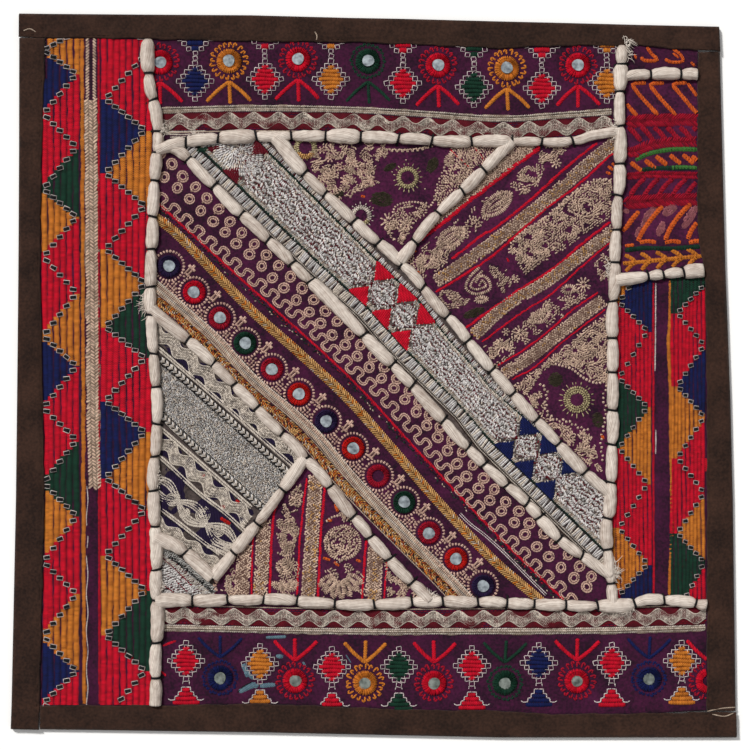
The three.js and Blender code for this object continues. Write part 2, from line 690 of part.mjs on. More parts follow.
// The cords lie on the seams, each cut off where it meets the cord or the binding that ends it
for (const [name, seam] of Object.entries(SEAMS)) {
  let cord = cordSolid(seam).intersect(openField);
  for (const other of seam.stops) {
    const { route, width } = SEAMS[other];
    const smooth = curveOf(route).getSpacedPoints(60).map(({ x, y }) => [x, y]);
    cord = cord.subtract(corridor({ route: smooth, width }));
  }
  add("cord_" + name, geometryOf(largest(cord)), 0xc2b6ac, 0.85);
}

const mirrorRows = {
  mirror_top: FLOWERS.top_strip.mirrors,
  mirror_bottom: FLOWERS.bottom_strip.mirrors,
  mirror_band: BAND_MIRRORS,
};
for (const [row, centres] of Object.entries(mirrorRows)) {
  centres.forEach((centre, index) => {
    add(row + "_" + (index + 1), mirrorGeometry(centre), 0xa7aeab, 0.15, 0.9);
  });
}

export default doily;
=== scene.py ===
# An embroidered doily: a square patchwork mat of salvaged embroidered cloth, lying flat, face up.
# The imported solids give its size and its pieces. Here each patch gets a puckered ground cloth with
# its stitches on it, the cords get their twisted fibres and black ties, the mirrors their collars,
# and the binding its fold and its creases.
import math

import bpy
import numpy as np
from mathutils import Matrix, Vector
from mathutils.geometry import delaunay_2d_cdt


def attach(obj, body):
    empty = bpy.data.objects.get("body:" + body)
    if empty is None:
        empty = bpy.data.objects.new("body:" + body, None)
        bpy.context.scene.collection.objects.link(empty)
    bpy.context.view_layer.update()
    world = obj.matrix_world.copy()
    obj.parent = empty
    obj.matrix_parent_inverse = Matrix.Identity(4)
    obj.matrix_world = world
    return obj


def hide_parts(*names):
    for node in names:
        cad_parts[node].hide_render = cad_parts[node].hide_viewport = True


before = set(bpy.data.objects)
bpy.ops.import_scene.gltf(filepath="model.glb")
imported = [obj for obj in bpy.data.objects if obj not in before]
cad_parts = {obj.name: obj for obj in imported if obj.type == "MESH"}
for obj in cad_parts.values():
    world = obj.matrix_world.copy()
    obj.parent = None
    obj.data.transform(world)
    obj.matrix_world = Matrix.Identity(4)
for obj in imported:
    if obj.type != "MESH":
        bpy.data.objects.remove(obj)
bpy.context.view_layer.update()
RNG = np.random.default_rng(41)
MM = 0.001  # a millimetre in metres

# The photograph's frame: how many millimetres one of its pixels shows, and the pixel of the origin
PX = 0.57
ORIGIN_PX = (373.5, 375.5)
FRAME_PX = 750

# Heights over the table, in millimetres
CLOTH = 2.4
CORD_FOOT = 2.7
BINDING_TOP = 3.9
LEAF = 0.95  # the binding's cloth under the mat
MIRROR_FOOT = 2.7
MIRROR_TOP = 3.6


def px(points):
    """Photograph pixels as millimetres in the mat's plane."""
    p = np.atleast_2d(np.asarray(points, float))
    return np.column_stack([(p[:, 0] - ORIGIN_PX[0]) * PX, (ORIGIN_PX[1] - p[:, 1]) * PX])


# The binding's inner edge, anticlockwise from the lower left corner
FIELD = [
    (-190.5, -188), (-121.5, -188), (-64.5, -187), (-19, -188.5), (21, -190.5), (72, -191),
    (98, -193), (123.5, -193), (152, -192.5), (190, -190.5), (190, -14), (189.5, 37.5),
    (188, 68.5), (184.5, 83), (184.5, 185.5), (152, 188), (129, 189), (106.5, 188),
    (69.5, 186.5), (15, 189), (-13.5, 190), (-70.5, 190.5), (-133.5, 192), (-186.5, 192.5),
    (-189, 128.5), (-190, 71.5), (-188.5, -14), (-187.5, -71), (-188.5, -128),
]
# Seams between patches. ties are the places along the axis where black thread holds the cord.
SEAMS = {
    "a": dict(
        route=[(-128.5, 198), (-128, 173), (-124, 147.5), (-123, 135.5), (-125.5, 100), (-127, 43),
               (-123.5, -19.5), (-125.5, -65.5), (-124, -96.5), (-123.5, -142), (-124.5, -194)],
        axis=1,
        ties=[172, 157, 139, 127.5, 111, 90.5, 72, 50.5, 34.5, 12.5, -6.5, -27.5, -46.5, -65.5,
              -86, -110.5, -128.5, -152, -172.5]),
    "b": dict(
        route=[(142, 194), (140.5, 162.5), (140.5, 131.5), (139, 92), (136.5, 37.5), (136, -31),
               (135, -71), (133, -90.5), (137, -131.5)],
        axis=1,
        ties=[177.5, 162, 142, 121, 102.5, 83, 64, 42.5, 21.5, 2, -19.5, -39, -60.5, -81, -99,
              -118.5]),
    "c": dict(
        route=[(-124, 128.5), (-107, 133), (-78, 136), (-37, 136.5), (3, 135.5), (44.5, 133.5),
               (109, 133.5), (124.5, 136.5), (140.5, 139.5)],
        axis=0,
        ties=[-107, -88, -67, -46.5, -27, -7.5, 14.5, 33.5, 56, 78.5, 95.5, 113]),
    "d": dict(
        route=[(-124, -128.5), (-72.5, -127.5), (-32, -129), (-10.5, -131), (31, -128.5),
               (72, -129.5), (137, -131), (157, -128), (174.5, -128.5), (196, -131.5)],
        axis=0,
        ties=[-103, -83, -63, -44, -22, 0.5, 22, 39.5, 59.5, 75.5, 91.5, 109.5, 127.5, 148.5,
              165.5, 183.5]),
    "e": dict(
        route=[(-55.5, 136.5), (-39.5, 115.5), (-11, 88), (16, 63.5), (42, 34), (79, -10),
               (120.5, -55), (135, -67.5)],
        axis=0,
        ties=[-39.5, -27.5, -11, 2.5, 16, 28, 42, 54, 67.5, 79.5, 93, 105.5, 120.5]),
    "f": dict(
        route=[(-116, 131), (-105.5, 123.5), (-75.5, 92), (-36, 54), (-5.5, 23), (22.5, -6),
               (62, -50), (87.5, -73), (105, -92.5), (135.5, -114)],
        axis=0,
        ties=[-105.5, -90.5, -75.5, -60, -46, -36, -5.5, 10.5, 22.5, 40, 53.5, 63, 75.5, 87.5,
              94.5, 105.5, 118.5]),
    "g": dict(
        route=[(-127, 38.5), (-105.5, 20), (-91.5, 7), (-52, -33.5), (-25, -63), (-2, -92),
               (32, -128.5)],
        axis=0,
        ties=[-105.5, -91.5, -79.5, -66.5, -52, -38.5, -25, -11.5, -2, 9, 22]),
    "h": dict(route=[(79, 133.5), (50.5, 105), (37, 92.5), (14.5, 65)], axis=0,
              ties=[63, 50.5, 37, 23.5]),
    "i": dict(route=[(-39, -47), (-66, -84), (-91.5, -115)], axis=0, ties=[-52, -66, -79.5]),
    "j": dict(route=[(-124.5, -92.5), (-107.5, -100.5), (-91.5, -115)], axis=0, ties=[-107.5]),
    "k": dict(route=[(140.5, 170), (157.5, 171.5), (190, 171.5)], axis=0, ties=[157.5, 175.5]),
    "l": dict(route=[(138, 54.5), (156, 56.5), (194, 60.5)], axis=0, ties=[156, 165, 176.5]),
}
OUTSIDE = 215
CORNERS = {
    "ac": (-124, 128.5), "cf": (-116, 131), "ce": (-55.5, 136.5), "ch": (79, 133.5),
    "bc": (140.5, 139.5), "eh": (14.5, 65), "be": (135, -67.5), "bf": (135.5, -114),
    "bd": (137, -131), "ag": (-127, 38.5), "gi": (-39, -47), "ij": (-91.5, -115),
    "aj": (-124.5, -92.5), "dg": (32, -128.5), "ad": (-124, -128.5), "dn": (-90, -128),
    "bk": (140.5, 170), "bl": (138, 54.5),
}
PATCHES = {
    "left_panel": ["ad", "a", (-124.5, -OUTSIDE), (-OUTSIDE, -OUTSIDE), (-OUTSIDE, OUTSIDE),
                   (-128.5, OUTSIDE), "a"],
    "top_strip": ["ac", "a", (-128.5, OUTSIDE), (142, OUTSIDE), "b", "bc", "c"],
    "edge_patch": ["bk", "b", (142, OUTSIDE), (OUTSIDE, OUTSIDE), (OUTSIDE, 171.5), "k"],
    "leaf_patch": ["bl", "b", "bk", "k", (OUTSIDE, 171.5), (OUTSIDE, 62.5), "l"],
    "right_panel": ["bd", "d", (OUTSIDE, -131.5), (OUTSIDE, 62.5), "l", "bl", "b"],
    "bottom_strip": ["ad", "a", (-124.5, -OUTSIDE), (OUTSIDE, -OUTSIDE), (OUTSIDE, -131.5), "d"],
    "upper_triangle": ["ce", "c", "ch", "h", "eh", "e"],
    "striped_trapezoid": ["ch", "c", "bc", "b", "be", "e", "eh", "h"],
    "silver_band": ["cf", "c", "ce", "e", "be", "b", "bf", "f"],
    "mirror_band": ["ag", "a", "ac", "c", "cf", "f", "bf", "b", "bd", "d", "dg", "g"],
    "silver_patch": ["ag", "g", "gi", "i", "ij", "j", "aj", "a"],
    "striped_triangle": ["gi", "g", "dg", "d", "dn", "ij", "i"],
    "corner_patch": ["aj", "j", "ij", "dn", "d", "ad", "a"],
}


def between(name, start, end):
    """The points of a seam that lie strictly between two of its places."""
    seam = SEAMS[name]
    axis = seam["axis"]
    low, high = sorted((start[axis], end[axis]))
    points = [p for p in seam["route"] if low + 1 < p[axis] < high - 1]
    run = seam["route"][-1][axis] - seam["route"][0][axis]
    return points if (end[axis] - start[axis]) * run > 0 else points[::-1]


def walk(steps):
    """A patch's outline from a walk along corners and the seams between them."""
    points = []
    for index, step in enumerate(steps):
        if step in SEAMS:
            ends = [steps[index - 1], steps[(index + 1) % len(steps)]]
            points += between(step, *[CORNERS.get(e, e) if isinstance(e, str) else e for e in ends])
        else:
            points.append(CORNERS[step] if isinstance(step, str) else step)
    return np.array(points, float)


def within(polygon, x, y):
    """Which points lie in a polygon."""
    found = np.zeros(np.shape(x), bool)
    polygon = np.asarray(polygon, float)
    for (ax, ay), (bx, by) in zip(polygon, np.roll(polygon, -1, axis=0)):
        if ay == by:
            continue
        crosses = (ay > y) != (by > y)
        found ^= crosses & (x < (bx - ax) * (y - ay) / (by - ay) + ax)
    return found


def far_from(polygon, x, y):
    """The distance of points from a polygon's outline."""
    polygon = np.asarray(polygon, float)
    best = np.full(np.shape(x), 1e9)
    for a, b in zip(polygon, np.roll(polygon, -1, axis=0)):
        d = b - a
        t = np.clip(((x - a[0]) * d[0] + (y - a[1]) * d[1]) / max(d @ d, 1e-9), 0, 1)
        best = np.minimum(best, np.hypot(x - a[0] - t * d[0], y - a[1] - t * d[1]))
    return best


def waves(count, longest, shortest, height, seed):
    """Random waves for an uneven surface: direction and length, phase and height."""
    rng = np.random.default_rng(seed)
    length = np.exp(rng.uniform(math.log(shortest), math.log(longest), count))
    turn = rng.uniform(0, 2 * math.pi, count)
    size = height * (length / longest) ** 0.8
    return 2 * math.pi / length * np.array([np.cos(turn), np.sin(turn)]), rng.uniform(0, 7, count), size


def swell(spec, x, y):
    turns, phases, sizes = spec
    return sum(s * np.sin(k[0] * x + k[1] * y + p) for k, p, s in zip(turns.T, phases, sizes))


PUCKERS = waves(22, 34, 6, 0.16, 3)
WRINKLES = waves(26, 7, 3, 0.05, 5)


def ground(x, y):
    """The height of the cloth under the stitches."""
    edge = np.clip(far_from(FIELD, x, y) / 5, 0, 1)
    return CLOTH + edge * (0.75 * swell(PUCKERS, x, y) + 0.7 * swell(WRINKLES, x, y))


def smooth(points, per_span=8):
    """A Catmull-Rom curve through points."""
    p = np.asarray(points, float)
    if len(p) < 3:
        return p
    q = np.vstack([2 * p[0] - p[1], p, 2 * p[-1] - p[-2]])
    out = []
    for i in range(1, len(q) - 2):
        t = np.linspace(0, 1, per_span, endpoint=False)[:, None]
        a, b, c, d = q[i - 1], q[i], q[i + 1], q[i + 2]
        out.append(0.5 * (2 * b + (c - a) * t + (2 * a - 5 * b + 4 * c - d) * t**2
                          + (3 * b - a - 3 * c + d) * t**3))
    return np.vstack(out + [p[-1:]])


class Track:
    """A line that stitches follow: places on it by distance, with a step to its left."""

    def __init__(self, points, curved=False):
        p = smooth(points) if curved else np.asarray(points, float)
        run = np.concatenate([[0], np.cumsum(np.hypot(*np.diff(p, axis=0).T))])
        self.length = run[-1]
        self.s = np.linspace(0, run[-1], max(3, int(run[-1] / 0.5)))
        self.x, self.y = np.interp(self.s, run, p[:, 0]), np.interp(self.s, run, p[:, 1])
        self.turn = np.unwrap(np.arctan2(np.gradient(self.y), np.gradient(self.x)))

    def at(self, s, aside=0.0):
        turn = np.interp(s, self.s, self.turn)
        x, y = np.interp(s, self.s, self.x), np.interp(s, self.s, self.y)
        return x - np.sin(turn) * aside, y + np.cos(turn) * aside, turn

    def beside(self, aside, step=1.0, low=0.0):
        """The line at an even distance to the left, as points."""
        s = np.arange(low, self.length + step / 2, step)
        x, y, _ = self.at(s, aside if np.isscalar(aside) else aside(s))
        return np.column_stack([x, y])


class Work:
    """Stitches gathered into one mesh, each face with its thread and each point with its tone."""

    def __init__(self, name, region=None):
        self.name, self.region = name, region
        self.points, self.tones, self.strands, self.faces, self.threads = [], [], [], [], []
        self.count = 0
        self.palette = []

    def thread(self, name):
        if name not in self.palette:
            self.palette.append(name)
        return self.palette.index(name)

    def keep(self, x, y):
        if self.region is None:
            return np.ones(np.shape(x), bool)
        return within(self.region, x, y) & within(FIELD, x, y)

    def add(self, points, faces, threads, tones, strands):
        """points (n, 3) in mm, faces (m, 4) with the last corner repeated in a triangle."""
        self.points.append(points)
        self.faces.append(faces + self.count)
        self.threads.append(threads)
        self.tones.append(tones)
        self.strands.append(strands)
        self.count += len(points)

    def stitches(self, x, y, turn, length, width, height, thread, tone=None, lift=0.0, square=0.28):
        """Single stitches: little mounds of thread, each along its own direction. square is how
        far from the middle the full width reaches, as a share of the length."""
        x, y, turn, length, width, height = np.broadcast_arrays(
            *[np.asarray(v, float) for v in (x, y, turn, length, width, height)])
        ok = self.keep(x, y)
        if not ok.any():
            return
        tone = RNG.uniform(0.25, 0.9, x.shape) if tone is None else np.broadcast_to(tone, x.shape)
        lift = np.broadcast_to(lift, x.shape)[ok]
        thread = np.broadcast_to(
            [self.thread(t) for t in thread] if not isinstance(thread, str) else self.thread(thread),
            x.shape)[ok]
        x, y, turn, length, width, height, tone = (
            v[ok] for v in (x, y, turn, length, width, height, tone))
        n = len(x)
        ridge = square - 0.03
        shape = np.array([(-0.5, 0, 0), (-square, -0.5, 0), (square, -0.5, 0), (0.5, 0, 0),
                          (square, 0.5, 0), (-square, 0.5, 0), (-ridge, 0, 1), (ridge, 0, 1)])
        u = shape[:, 0] * length[:, None]
        v = shape[:, 1] * width[:, None]
        c, s = np.cos(turn)[:, None], np.sin(turn)[:, None]
        gx, gy = x[:, None] + c * u - s * v, y[:, None] + s * u + c * v
        base = ground(x, y) - 0.15 + lift
        gz = base[:, None] + shape[:, 2] * (height[:, None] + 0.15)
        points = np.stack([gx, gy, gz], -1).reshape(-1, 3)
        one = np.array([(1, 2, 7, 6), (4, 5, 6, 7), (0, 1, 6, 6), (5, 0, 6, 6), (2, 3, 7, 7),
                        (3, 4, 7, 7)])
        faces = (one[None] + 8 * np.arange(n)[:, None, None]).reshape(-1, 4)
        # Painted light on each stitch: darker at its ends and darkest on one side (painted shade), lighter
        # on the other side and brightest on its ridge (painted highlight).
        edge = np.array([0.7, 0.55, 0.55, 0.7, 0.8, 0.8, 1.1, 1.1])
        tones = (tone[:, None] * edge).ravel()
        self.add(points, faces, np.repeat(thread, 6), tones, (v * 1.0).ravel())

    def ribbon(self, path, width, height, thread, step=0.9, bead=0.0, sides=3, tone=0.6, vary=0.15,
               lift=0.0, closed=False, threads=None, edge=0.55):
        """A raised line of thread. bead is how deep it dips between its stitches, and threads
        gives the thread of each place by its number."""
        p = np.asarray(path, float)
        if closed:
            p = np.vstack([p, p[:1]])
        run = np.concatenate([[0], np.cumsum(np.hypot(*np.diff(p, axis=0).T))])
        if run[-1] < 0.3:
            return
        n = max(3, int(round(run[-1] / step)) + 1)
        s = np.linspace(0, run[-1], n)
        x, y = np.interp(s, run, p[:, 0]), np.interp(s, run, p[:, 1])
        dx, dy = np.gradient(x), np.gradient(y)
        if closed:
            dx[0] = dx[-1] = x[1] - x[-2]
            dy[0] = dy[-1] = y[1] - y[-2]
        size = np.maximum(np.hypot(dx, dy), 1e-9)
        dx, dy = dx / size, dy / size
        across = np.linspace(-1, 1, sides)
        up = np.sqrt(np.maximum(0, 1 - np.abs(across) ** 2.6))
        odd = np.arange(n) % 2
        swellings = 1 - bead * odd + RNG.uniform(-0.06, 0.06, n)
        ends = np.ones(n)
        if not closed:
            ends[[0, -1]] = 0.45
        half = width / 2 * (1 - 0.35 * bead * odd) * (0.55 + 0.45 * ends)
        gx = x[:, None] - dy[:, None] * across * half[:, None]
        gy = y[:, None] + dx[:, None] * across * half[:, None]
        base = ground(x, y) - 0.15 + lift
        gz = base[:, None] + up * ((height + 0.15) * swellings * ends)[:, None]
        # Painted shade: the tone falls towards the sides, by edge, and drops in the dips between stitches.
        # The ridge keeps the full tone.
        tones = (tone + RNG.uniform(-vary, vary, n) - 0.25 * bead * odd)[:, None] * (edge + (1 - edge) * up)
        ok = self.keep(x, y)
        kinds = self.thread(thread) if threads is None else None
        index = np.arange(n * sides).reshape(n, sides)
        quads = np.stack([index[:-1, :-1], index[:-1, 1:], index[1:, 1:], index[1:, :-1]], -1)
        spans = ok[:-1] & ok[1:]
        quads = quads[spans].reshape(-1, 4)[:, ::-1]
        if not len(quads):
            return
        if kinds is None:
            kinds = np.repeat(np.array([self.thread(t) for t in threads(s, x, y)])[:-1][spans], sides - 1)
        else:
            kinds = np.full(len(quads), kinds)
        strands = np.broadcast_to(s[:, None], (n, sides)) + 0.35 * across * width
        self.add(np.stack([gx, gy, gz], -1).reshape(-1, 3), quads, kinds, tones.ravel(),
                 np.ascontiguousarray(strands).ravel())

    def build(self):
        if not self.count:
            return None
        points = np.vstack(self.points)
        faces = np.vstack(self.faces)
        kinds = np.concatenate(self.threads)
        ob = mesh_piece(self.name, points, faces)
        ob.data.polygons.foreach_set("material_index", kinds.astype(np.int32))
        for thread in self.palette:
            ob.data.materials.append(thread_material(thread))
        put_attribute(ob, "tone", np.concatenate(self.tones))
        put_attribute(ob, "strand", np.concatenate(self.strands))
        return ob


def put_attribute(ob, name, values):
    layer = ob.data.attributes.new(name, "FLOAT", "POINT")
    layer.data.foreach_set("value", np.ascontiguousarray(values, np.float32))


def mesh_piece(name, points, faces, smooth_faces=True):
    """A piece of the doily from points in millimetres and faces of three or four corners."""
    faces = np.asarray(faces)
    triangle = faces[:, 2] == faces[:, 3]
    sizes = np.where(triangle, 3, 4)
    spare = triangle[:, None] & (np.arange(4) == 3)
    flat = faces.ravel()[~spare.ravel()]
    me = bpy.data.meshes.new(name)
    me.vertices.add(len(points))
    me.vertices.foreach_set("co", (np.asarray(points, float) * MM).ravel().astype(np.float32))
    me.loops.add(len(flat))
    me.loops.foreach_set("vertex_index", flat.astype(np.int32))
    me.polygons.add(len(faces))
    starts = np.concatenate([[0], np.cumsum(sizes)[:-1]])
    me.polygons.foreach_set("loop_start", starts.astype(np.int32))
    me.polygons.foreach_set("loop_total", sizes.astype(np.int32))
    me.update(calc_edges=True)
    me.polygons.foreach_set("use_smooth", np.full(len(faces), smooth_faces))
    ob = bpy.data.objects.new(name, me)
    bpy.context.scene.collection.objects.link(ob)
    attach(ob, "root")
    return ob


# Threads: the dark colour, which is painted shade for the hollows and sides, the light colour, which is a
# painted highlight for the tops, and the roughness. Each stitch's random tone also falls between the two.
THREADS = {
    "red": ((112, 0, 18), (220, 3, 42), 0.75),
    "crimson": ((84, 2, 22), (176, 10, 42), 0.75),
    "maroon": ((52, 4, 16), (112, 14, 32), 0.8),
    "scarlet": ((112, 6, 4), (204, 20, 12), 0.7),
    "blue": ((3, 6, 30), (16, 28, 88), 0.8),
    "navy": ((16, 6, 34), (42, 26, 66), 0.8),
    "green": ((3, 20, 15), (18, 62, 44), 0.8),
    "leaf": ((20, 60, 24), (72, 130, 58), 0.7),
    "gold": ((112, 52, 8), (222, 134, 46), 0.75),
    "ochre": ((104, 64, 28), (216, 170, 108), 0.75),
    "rust": ((100, 42, 18), (178, 92, 48), 0.75),
    "orange": ((148, 44, 10), (226, 104, 36), 0.7),
    "beige": ((94, 66, 58), (222, 194, 172), 0.85),
    "cream": ((104, 66, 62), (220, 184, 166), 0.8),
    "oat": ((112, 92, 78), (212, 192, 172), 0.8),
    "galloon": ((116, 104, 96), (236, 224, 210), 0.6),
    "silver": ((98, 90, 90), (232, 228, 226), 0.5),
    "steel": ((96, 94, 92), (214, 212, 208), 0.5),
    "olive": ((88, 76, 54), (192, 178, 136), 0.7),
    "worn": ((26, 22, 14), (74, 66, 50), 0.9),
    "white": ((120, 106, 112), (236, 224, 220), 0.8),
    "black": ((4, 4, 6), (30, 28, 30), 0.65),
    "brown": ((30, 18, 12), (62, 42, 32), 0.85),
    "teal": ((60, 84, 100), (120, 150, 162), 0.75),
    "cotton": ((138, 118, 106), (230, 219, 208), 0.95),
    "pink": ((128, 62, 72), (188, 116, 122), 0.85),
}
# Ground cloths: a dark and a light colour, mixed by uneven dye and by painted shade in the weave's hollows,
# the thread count a metre and the roughness
CLOTHS = {
    "purple cloth": ((22, 1, 20), (72, 14, 54), 1700, 0.9),
    "plum cloth": ((28, 2, 26), (86, 22, 64), 1700, 0.9),
    "red cloth": ((100, 6, 22), (176, 16, 42), 1700, 0.85),
    "grey cloth": ((44, 36, 36), (96, 84, 80), 1900, 0.9),
    "maroon cloth": ((70, 16, 24), (122, 28, 40), 1700, 0.85),
    "binding cloth": ((30, 17, 12), (63, 41, 31), 1500, 0.95),
    "backing cloth": ((112, 92, 76), (152, 132, 112), 1300, 0.9),
}


def linear(rgb):
    c = np.asarray(rgb, float) / 255
    return tuple(np.where(c <= 0.04045, c / 12.92, ((c + 0.055) / 1.055) ** 2.4)) + (1.0,)


class Nodes:
    """Short calls that make and join the nodes of one material."""

    def __init__(self, name):
        self.mat = bpy.data.materials.new(name)
        self.mat.use_nodes = True
        self.tree = self.mat.node_tree
        self.shader = self.tree.nodes["Principled BSDF"]

    def add(self, kind, **values):
        node = self.tree.nodes.new(kind)
        for key, value in values.items():
            setattr(node, key, value)
        return node

    def join(self, source, target):
        self.tree.links.new(source, target)

    def attribute(self, name):
        return self.add("ShaderNodeAttribute", attribute_name=name).outputs["Fac"]

    def math(self, operation, a, b=None, clamp=False):
        node = self.add("ShaderNodeMath", operation=operation, use_clamp=clamp)
        for socket, value in zip(node.inputs, (a, b)):
            if value is None:
                continue
            if isinstance(value, (int, float)):
                socket.default_value = value
            else:
                self.join(value, socket)
        return node.outputs[0]

    def place(self, stretch=(1, 1, 1)):
        source = self.add("ShaderNodeTexCoord").outputs["Object"]
        mapping = self.add("ShaderNodeMapping")
        mapping.inputs["Scale"].default_value = stretch
        self.join(source, mapping.inputs["Vector"])
        return mapping.outputs["Vector"]

    def noise(self, scale, detail=2.0, stretch=(1, 1, 1)):
        node = self.add("ShaderNodeTexNoise")
        node.inputs["Scale"].default_value = scale
        node.inputs["Detail"].default_value = detail
        self.join(self.place(stretch), node.inputs["Vector"])
        return node.outputs["Fac"]

    def between(self, factor, low, high):
        node = self.add("ShaderNodeMix", data_type="RGBA")
        self.join(factor, node.inputs["Factor"])
        for socket, value in ((node.inputs[6], low), (node.inputs[7], high)):
            if isinstance(value, tuple):
                socket.default_value = value
            else:
                self.join(value, socket)
        return node.outputs[2]

    def bump(self, height, distance, strength=1.0):
        node = self.add("ShaderNodeBump")
        node.inputs["Distance"].default_value = distance
        node.inputs["Strength"].default_value = strength
        self.join(height, node.inputs["Height"])
        self.join(node.outputs["Normal"], self.shader.inputs["Normal"])

    def finish(self, colour, roughness, sheen=0.0, specular=0.3):
        self.join(colour, self.shader.inputs["Base Color"])
        self.shader.inputs["Roughness"].default_value = roughness
        self.shader.inputs["Sheen Weight"].default_value = sheen
        self.shader.inputs["Specular IOR Level"].default_value = specular
        return self.mat


def thread_material(name):
    """Twisted thread: its tone comes with each stitch, and fine plies run over it."""
    title = "thread " + name
    if title in bpy.data.materials:
        return bpy.data.materials[title]
    dark, light, roughness = THREADS[name]
    n = Nodes(title)
    # The plies make the bump and also darken the colour in their grooves: painted shade. The tone from each
    # stitch carries painted shade on its sides and in its dips, and a painted highlight on its ridge.
    ply = n.math("SINE", n.math("MULTIPLY", n.attribute("strand"), 2 * math.pi / 1.1))
    worn = n.math("MULTIPLY", n.math("SUBTRACT", n.noise(300, 4), 0.5), 0.9)
    if name == "cotton":
        fibre = n.add("ShaderNodeTexNoise", noise_dimensions="1D")
        fibre.inputs["Scale"].default_value = 1.3
        fibre.inputs["Detail"].default_value = 4
        n.join(n.attribute("strand"), fibre.inputs["W"])
        # The streaks are partly the fibres' own colour and partly painted shade in the grooves that the
        # same streaks press into the bump.
        streak = n.math("MULTIPLY", n.math("SUBTRACT", fibre.outputs["Fac"], 0.5), 1.5)
        tone = n.math("ADD", n.math("ADD", n.attribute("tone"), worn), streak, clamp=True)
        n.bump(streak, 0.0002, 0.7)
    else:
        tone = n.math("ADD", n.math("ADD", n.attribute("tone"), worn), n.math("MULTIPLY", ply, 0.2),
                      clamp=True)
        n.bump(ply, 0.0003, 0.7)
    return n.finish(n.between(tone, linear(dark), linear(light)), roughness, 0.0, 0.2)


def cloth_material(name):
    """Plain weave, unevenly dyed, with painted shade in the weave's hollows that leaves its ridges a little
    lighter.
    """
    if name in bpy.data.materials:
        return bpy.data.materials[name]
    dark, light, count, roughness = CLOTHS[name]
    n = Nodes(name)
    where = n.add("ShaderNodeSeparateXYZ")
    n.join(n.place(), where.inputs[0])
    turn = 2 * math.pi * count
    warp = n.math("SINE", n.math("MULTIPLY", where.outputs[0], turn))
    weft = n.math("SINE", n.math("MULTIPLY", where.outputs[1], turn))
    weave = n.math("MULTIPLY", n.math("ADD", n.math("ADD", warp, weft), 2.0), 0.25)
    patchy = n.math("MULTIPLY", n.math("ADD", n.noise(60, 5), n.noise(700, 3)), 0.5)
    # The weave term lightens the weave's ridges and darkens its hollows: painted shade, beside the uneven
    # dye of the noise.
    tone = n.math("ADD", n.math("MULTIPLY", n.math("SUBTRACT", patchy, 0.5), 3.1),
                  n.math("ADD", n.math("MULTIPLY", weave, 0.35), 0.28), clamp=True)
    n.bump(weave, 0.00015, 0.8)
    return n.finish(n.between(tone, linear(dark), linear(light)), roughness, 0.1, 0.2)


def mirror_material(dull):
    title = "dull mirror glass" if dull else "mirror glass"
    if title in bpy.data.materials:
        return bpy.data.materials[title]
    # The glass's colours stand in for what it reflects: painted reflection, pale blue-grey on the bright
    # mirrors and darker green-grey on the dull ones. Its metal and low roughness add some real reflection.
    dark, light = ((70, 76, 72), (140, 148, 142)) if dull else ((92, 98, 106), (176, 186, 192))
    n = Nodes(title)
    tone = n.math("ADD", n.math("MULTIPLY", n.noise(380, 3), 2.6), -0.75, clamp=True)
    n.bump(n.noise(500, 2), 0.0002, 0.25)
    n.shader.inputs["Metallic"].default_value = 0.3
    return n.finish(n.between(tone, linear(dark), linear(light)), 0.35, 0.0, 0.5)


def loop_round(faces):
    """The directed outline edges of a triangle mesh."""
    edges = {}
    for a, b, c in faces:
        for edge in ((a, b), (b, c), (c, a)):
            edges[edge] = 1
    return [edge for edge in edges if (edge[1], edge[0]) not in edges]


GRID = 2.1  # millimetres between the points of a ground cloth


def cut_cloth(name):
    """A patch's cloth inside the binding, as triangles: the places and the faces."""
    outline = walk(PATCHES[name])
    x, y = outline.T
    if (x * np.roll(y, -1) - y * np.roll(x, -1)).sum() < 0:
        outline = outline[::-1]
    grown = np.array(FIELD)
    middle = grown.mean(0)
    grown += 0.5 * np.sign(grown - middle)
    low, high = outline.min(0), outline.max(0)
    low, high = np.maximum(low, -205), np.minimum(high, 205)
    gx, gy = np.meshgrid(np.arange(low[0], high[0], GRID), np.arange(low[1], high[1], GRID * 0.87))
    gx = gx + np.where(np.arange(gx.shape[0])[:, None] % 2, GRID / 2, 0)
    gx, gy = gx.ravel(), gy.ravel()
    ok = within(outline, gx, gy) & within(grown, gx, gy)
    gx, gy = gx[ok], gy[ok]
    ok = (far_from(outline, gx, gy) > 0.7) & (far_from(grown, gx, gy) > 0.7)
    places = np.vstack([outline, grown, np.column_stack([gx[ok], gy[ok]])])
    n, m = len(outline), len(grown)
    found = delaunay_2d_cdt([Vector(p) for p in places], [], [list(range(n)), list(range(n, n + m))], 1,
                            1e-5)
    verts, faces, owners = found[0], found[2], found[5]
    both = [f for f, owner in zip(faces, owners) if len(set(owner)) == 2]
    used = sorted({i for f in both for i in f})
    place = {old: new for new, old in enumerate(used)}
    return np.array([verts[i][:] for i in used]), np.array([[place[i] for i in f] for f in both])


def ground_cloth(name, cloth):
    """A patch's puckered cloth with its backing, down to the table."""
    xy, tris = cut_cloth(name)
    x, y = xy.T
    top = np.column_stack([xy, ground(x, y)])
    rim = np.array(loop_round(tris))
    low = np.column_stack([xy, np.zeros(len(xy))])
    under = tris[:, ::-1] + len(xy)
    walls = np.column_stack([rim[:, 1], rim[:, 0], rim[:, 0] + len(xy), rim[:, 1] + len(xy)])
    closed = [np.column_stack([t, t[:, 2]]) for t in (tris, under)]
    ob = mesh_piece(name + "_cloth", np.vstack([top, low]), np.vstack(closed + [walls]))
    ob.data.materials.append(cloth_material(cloth))
    ob.data.materials.append(cloth_material("backing cloth"))
    kinds = np.zeros(len(tris) * 2 + len(walls), np.int32)
    kinds[len(tris):len(tris) * 2] = 1
    ob.data.polygons.foreach_set("material_index", kinds)
    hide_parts(name)
    return ob


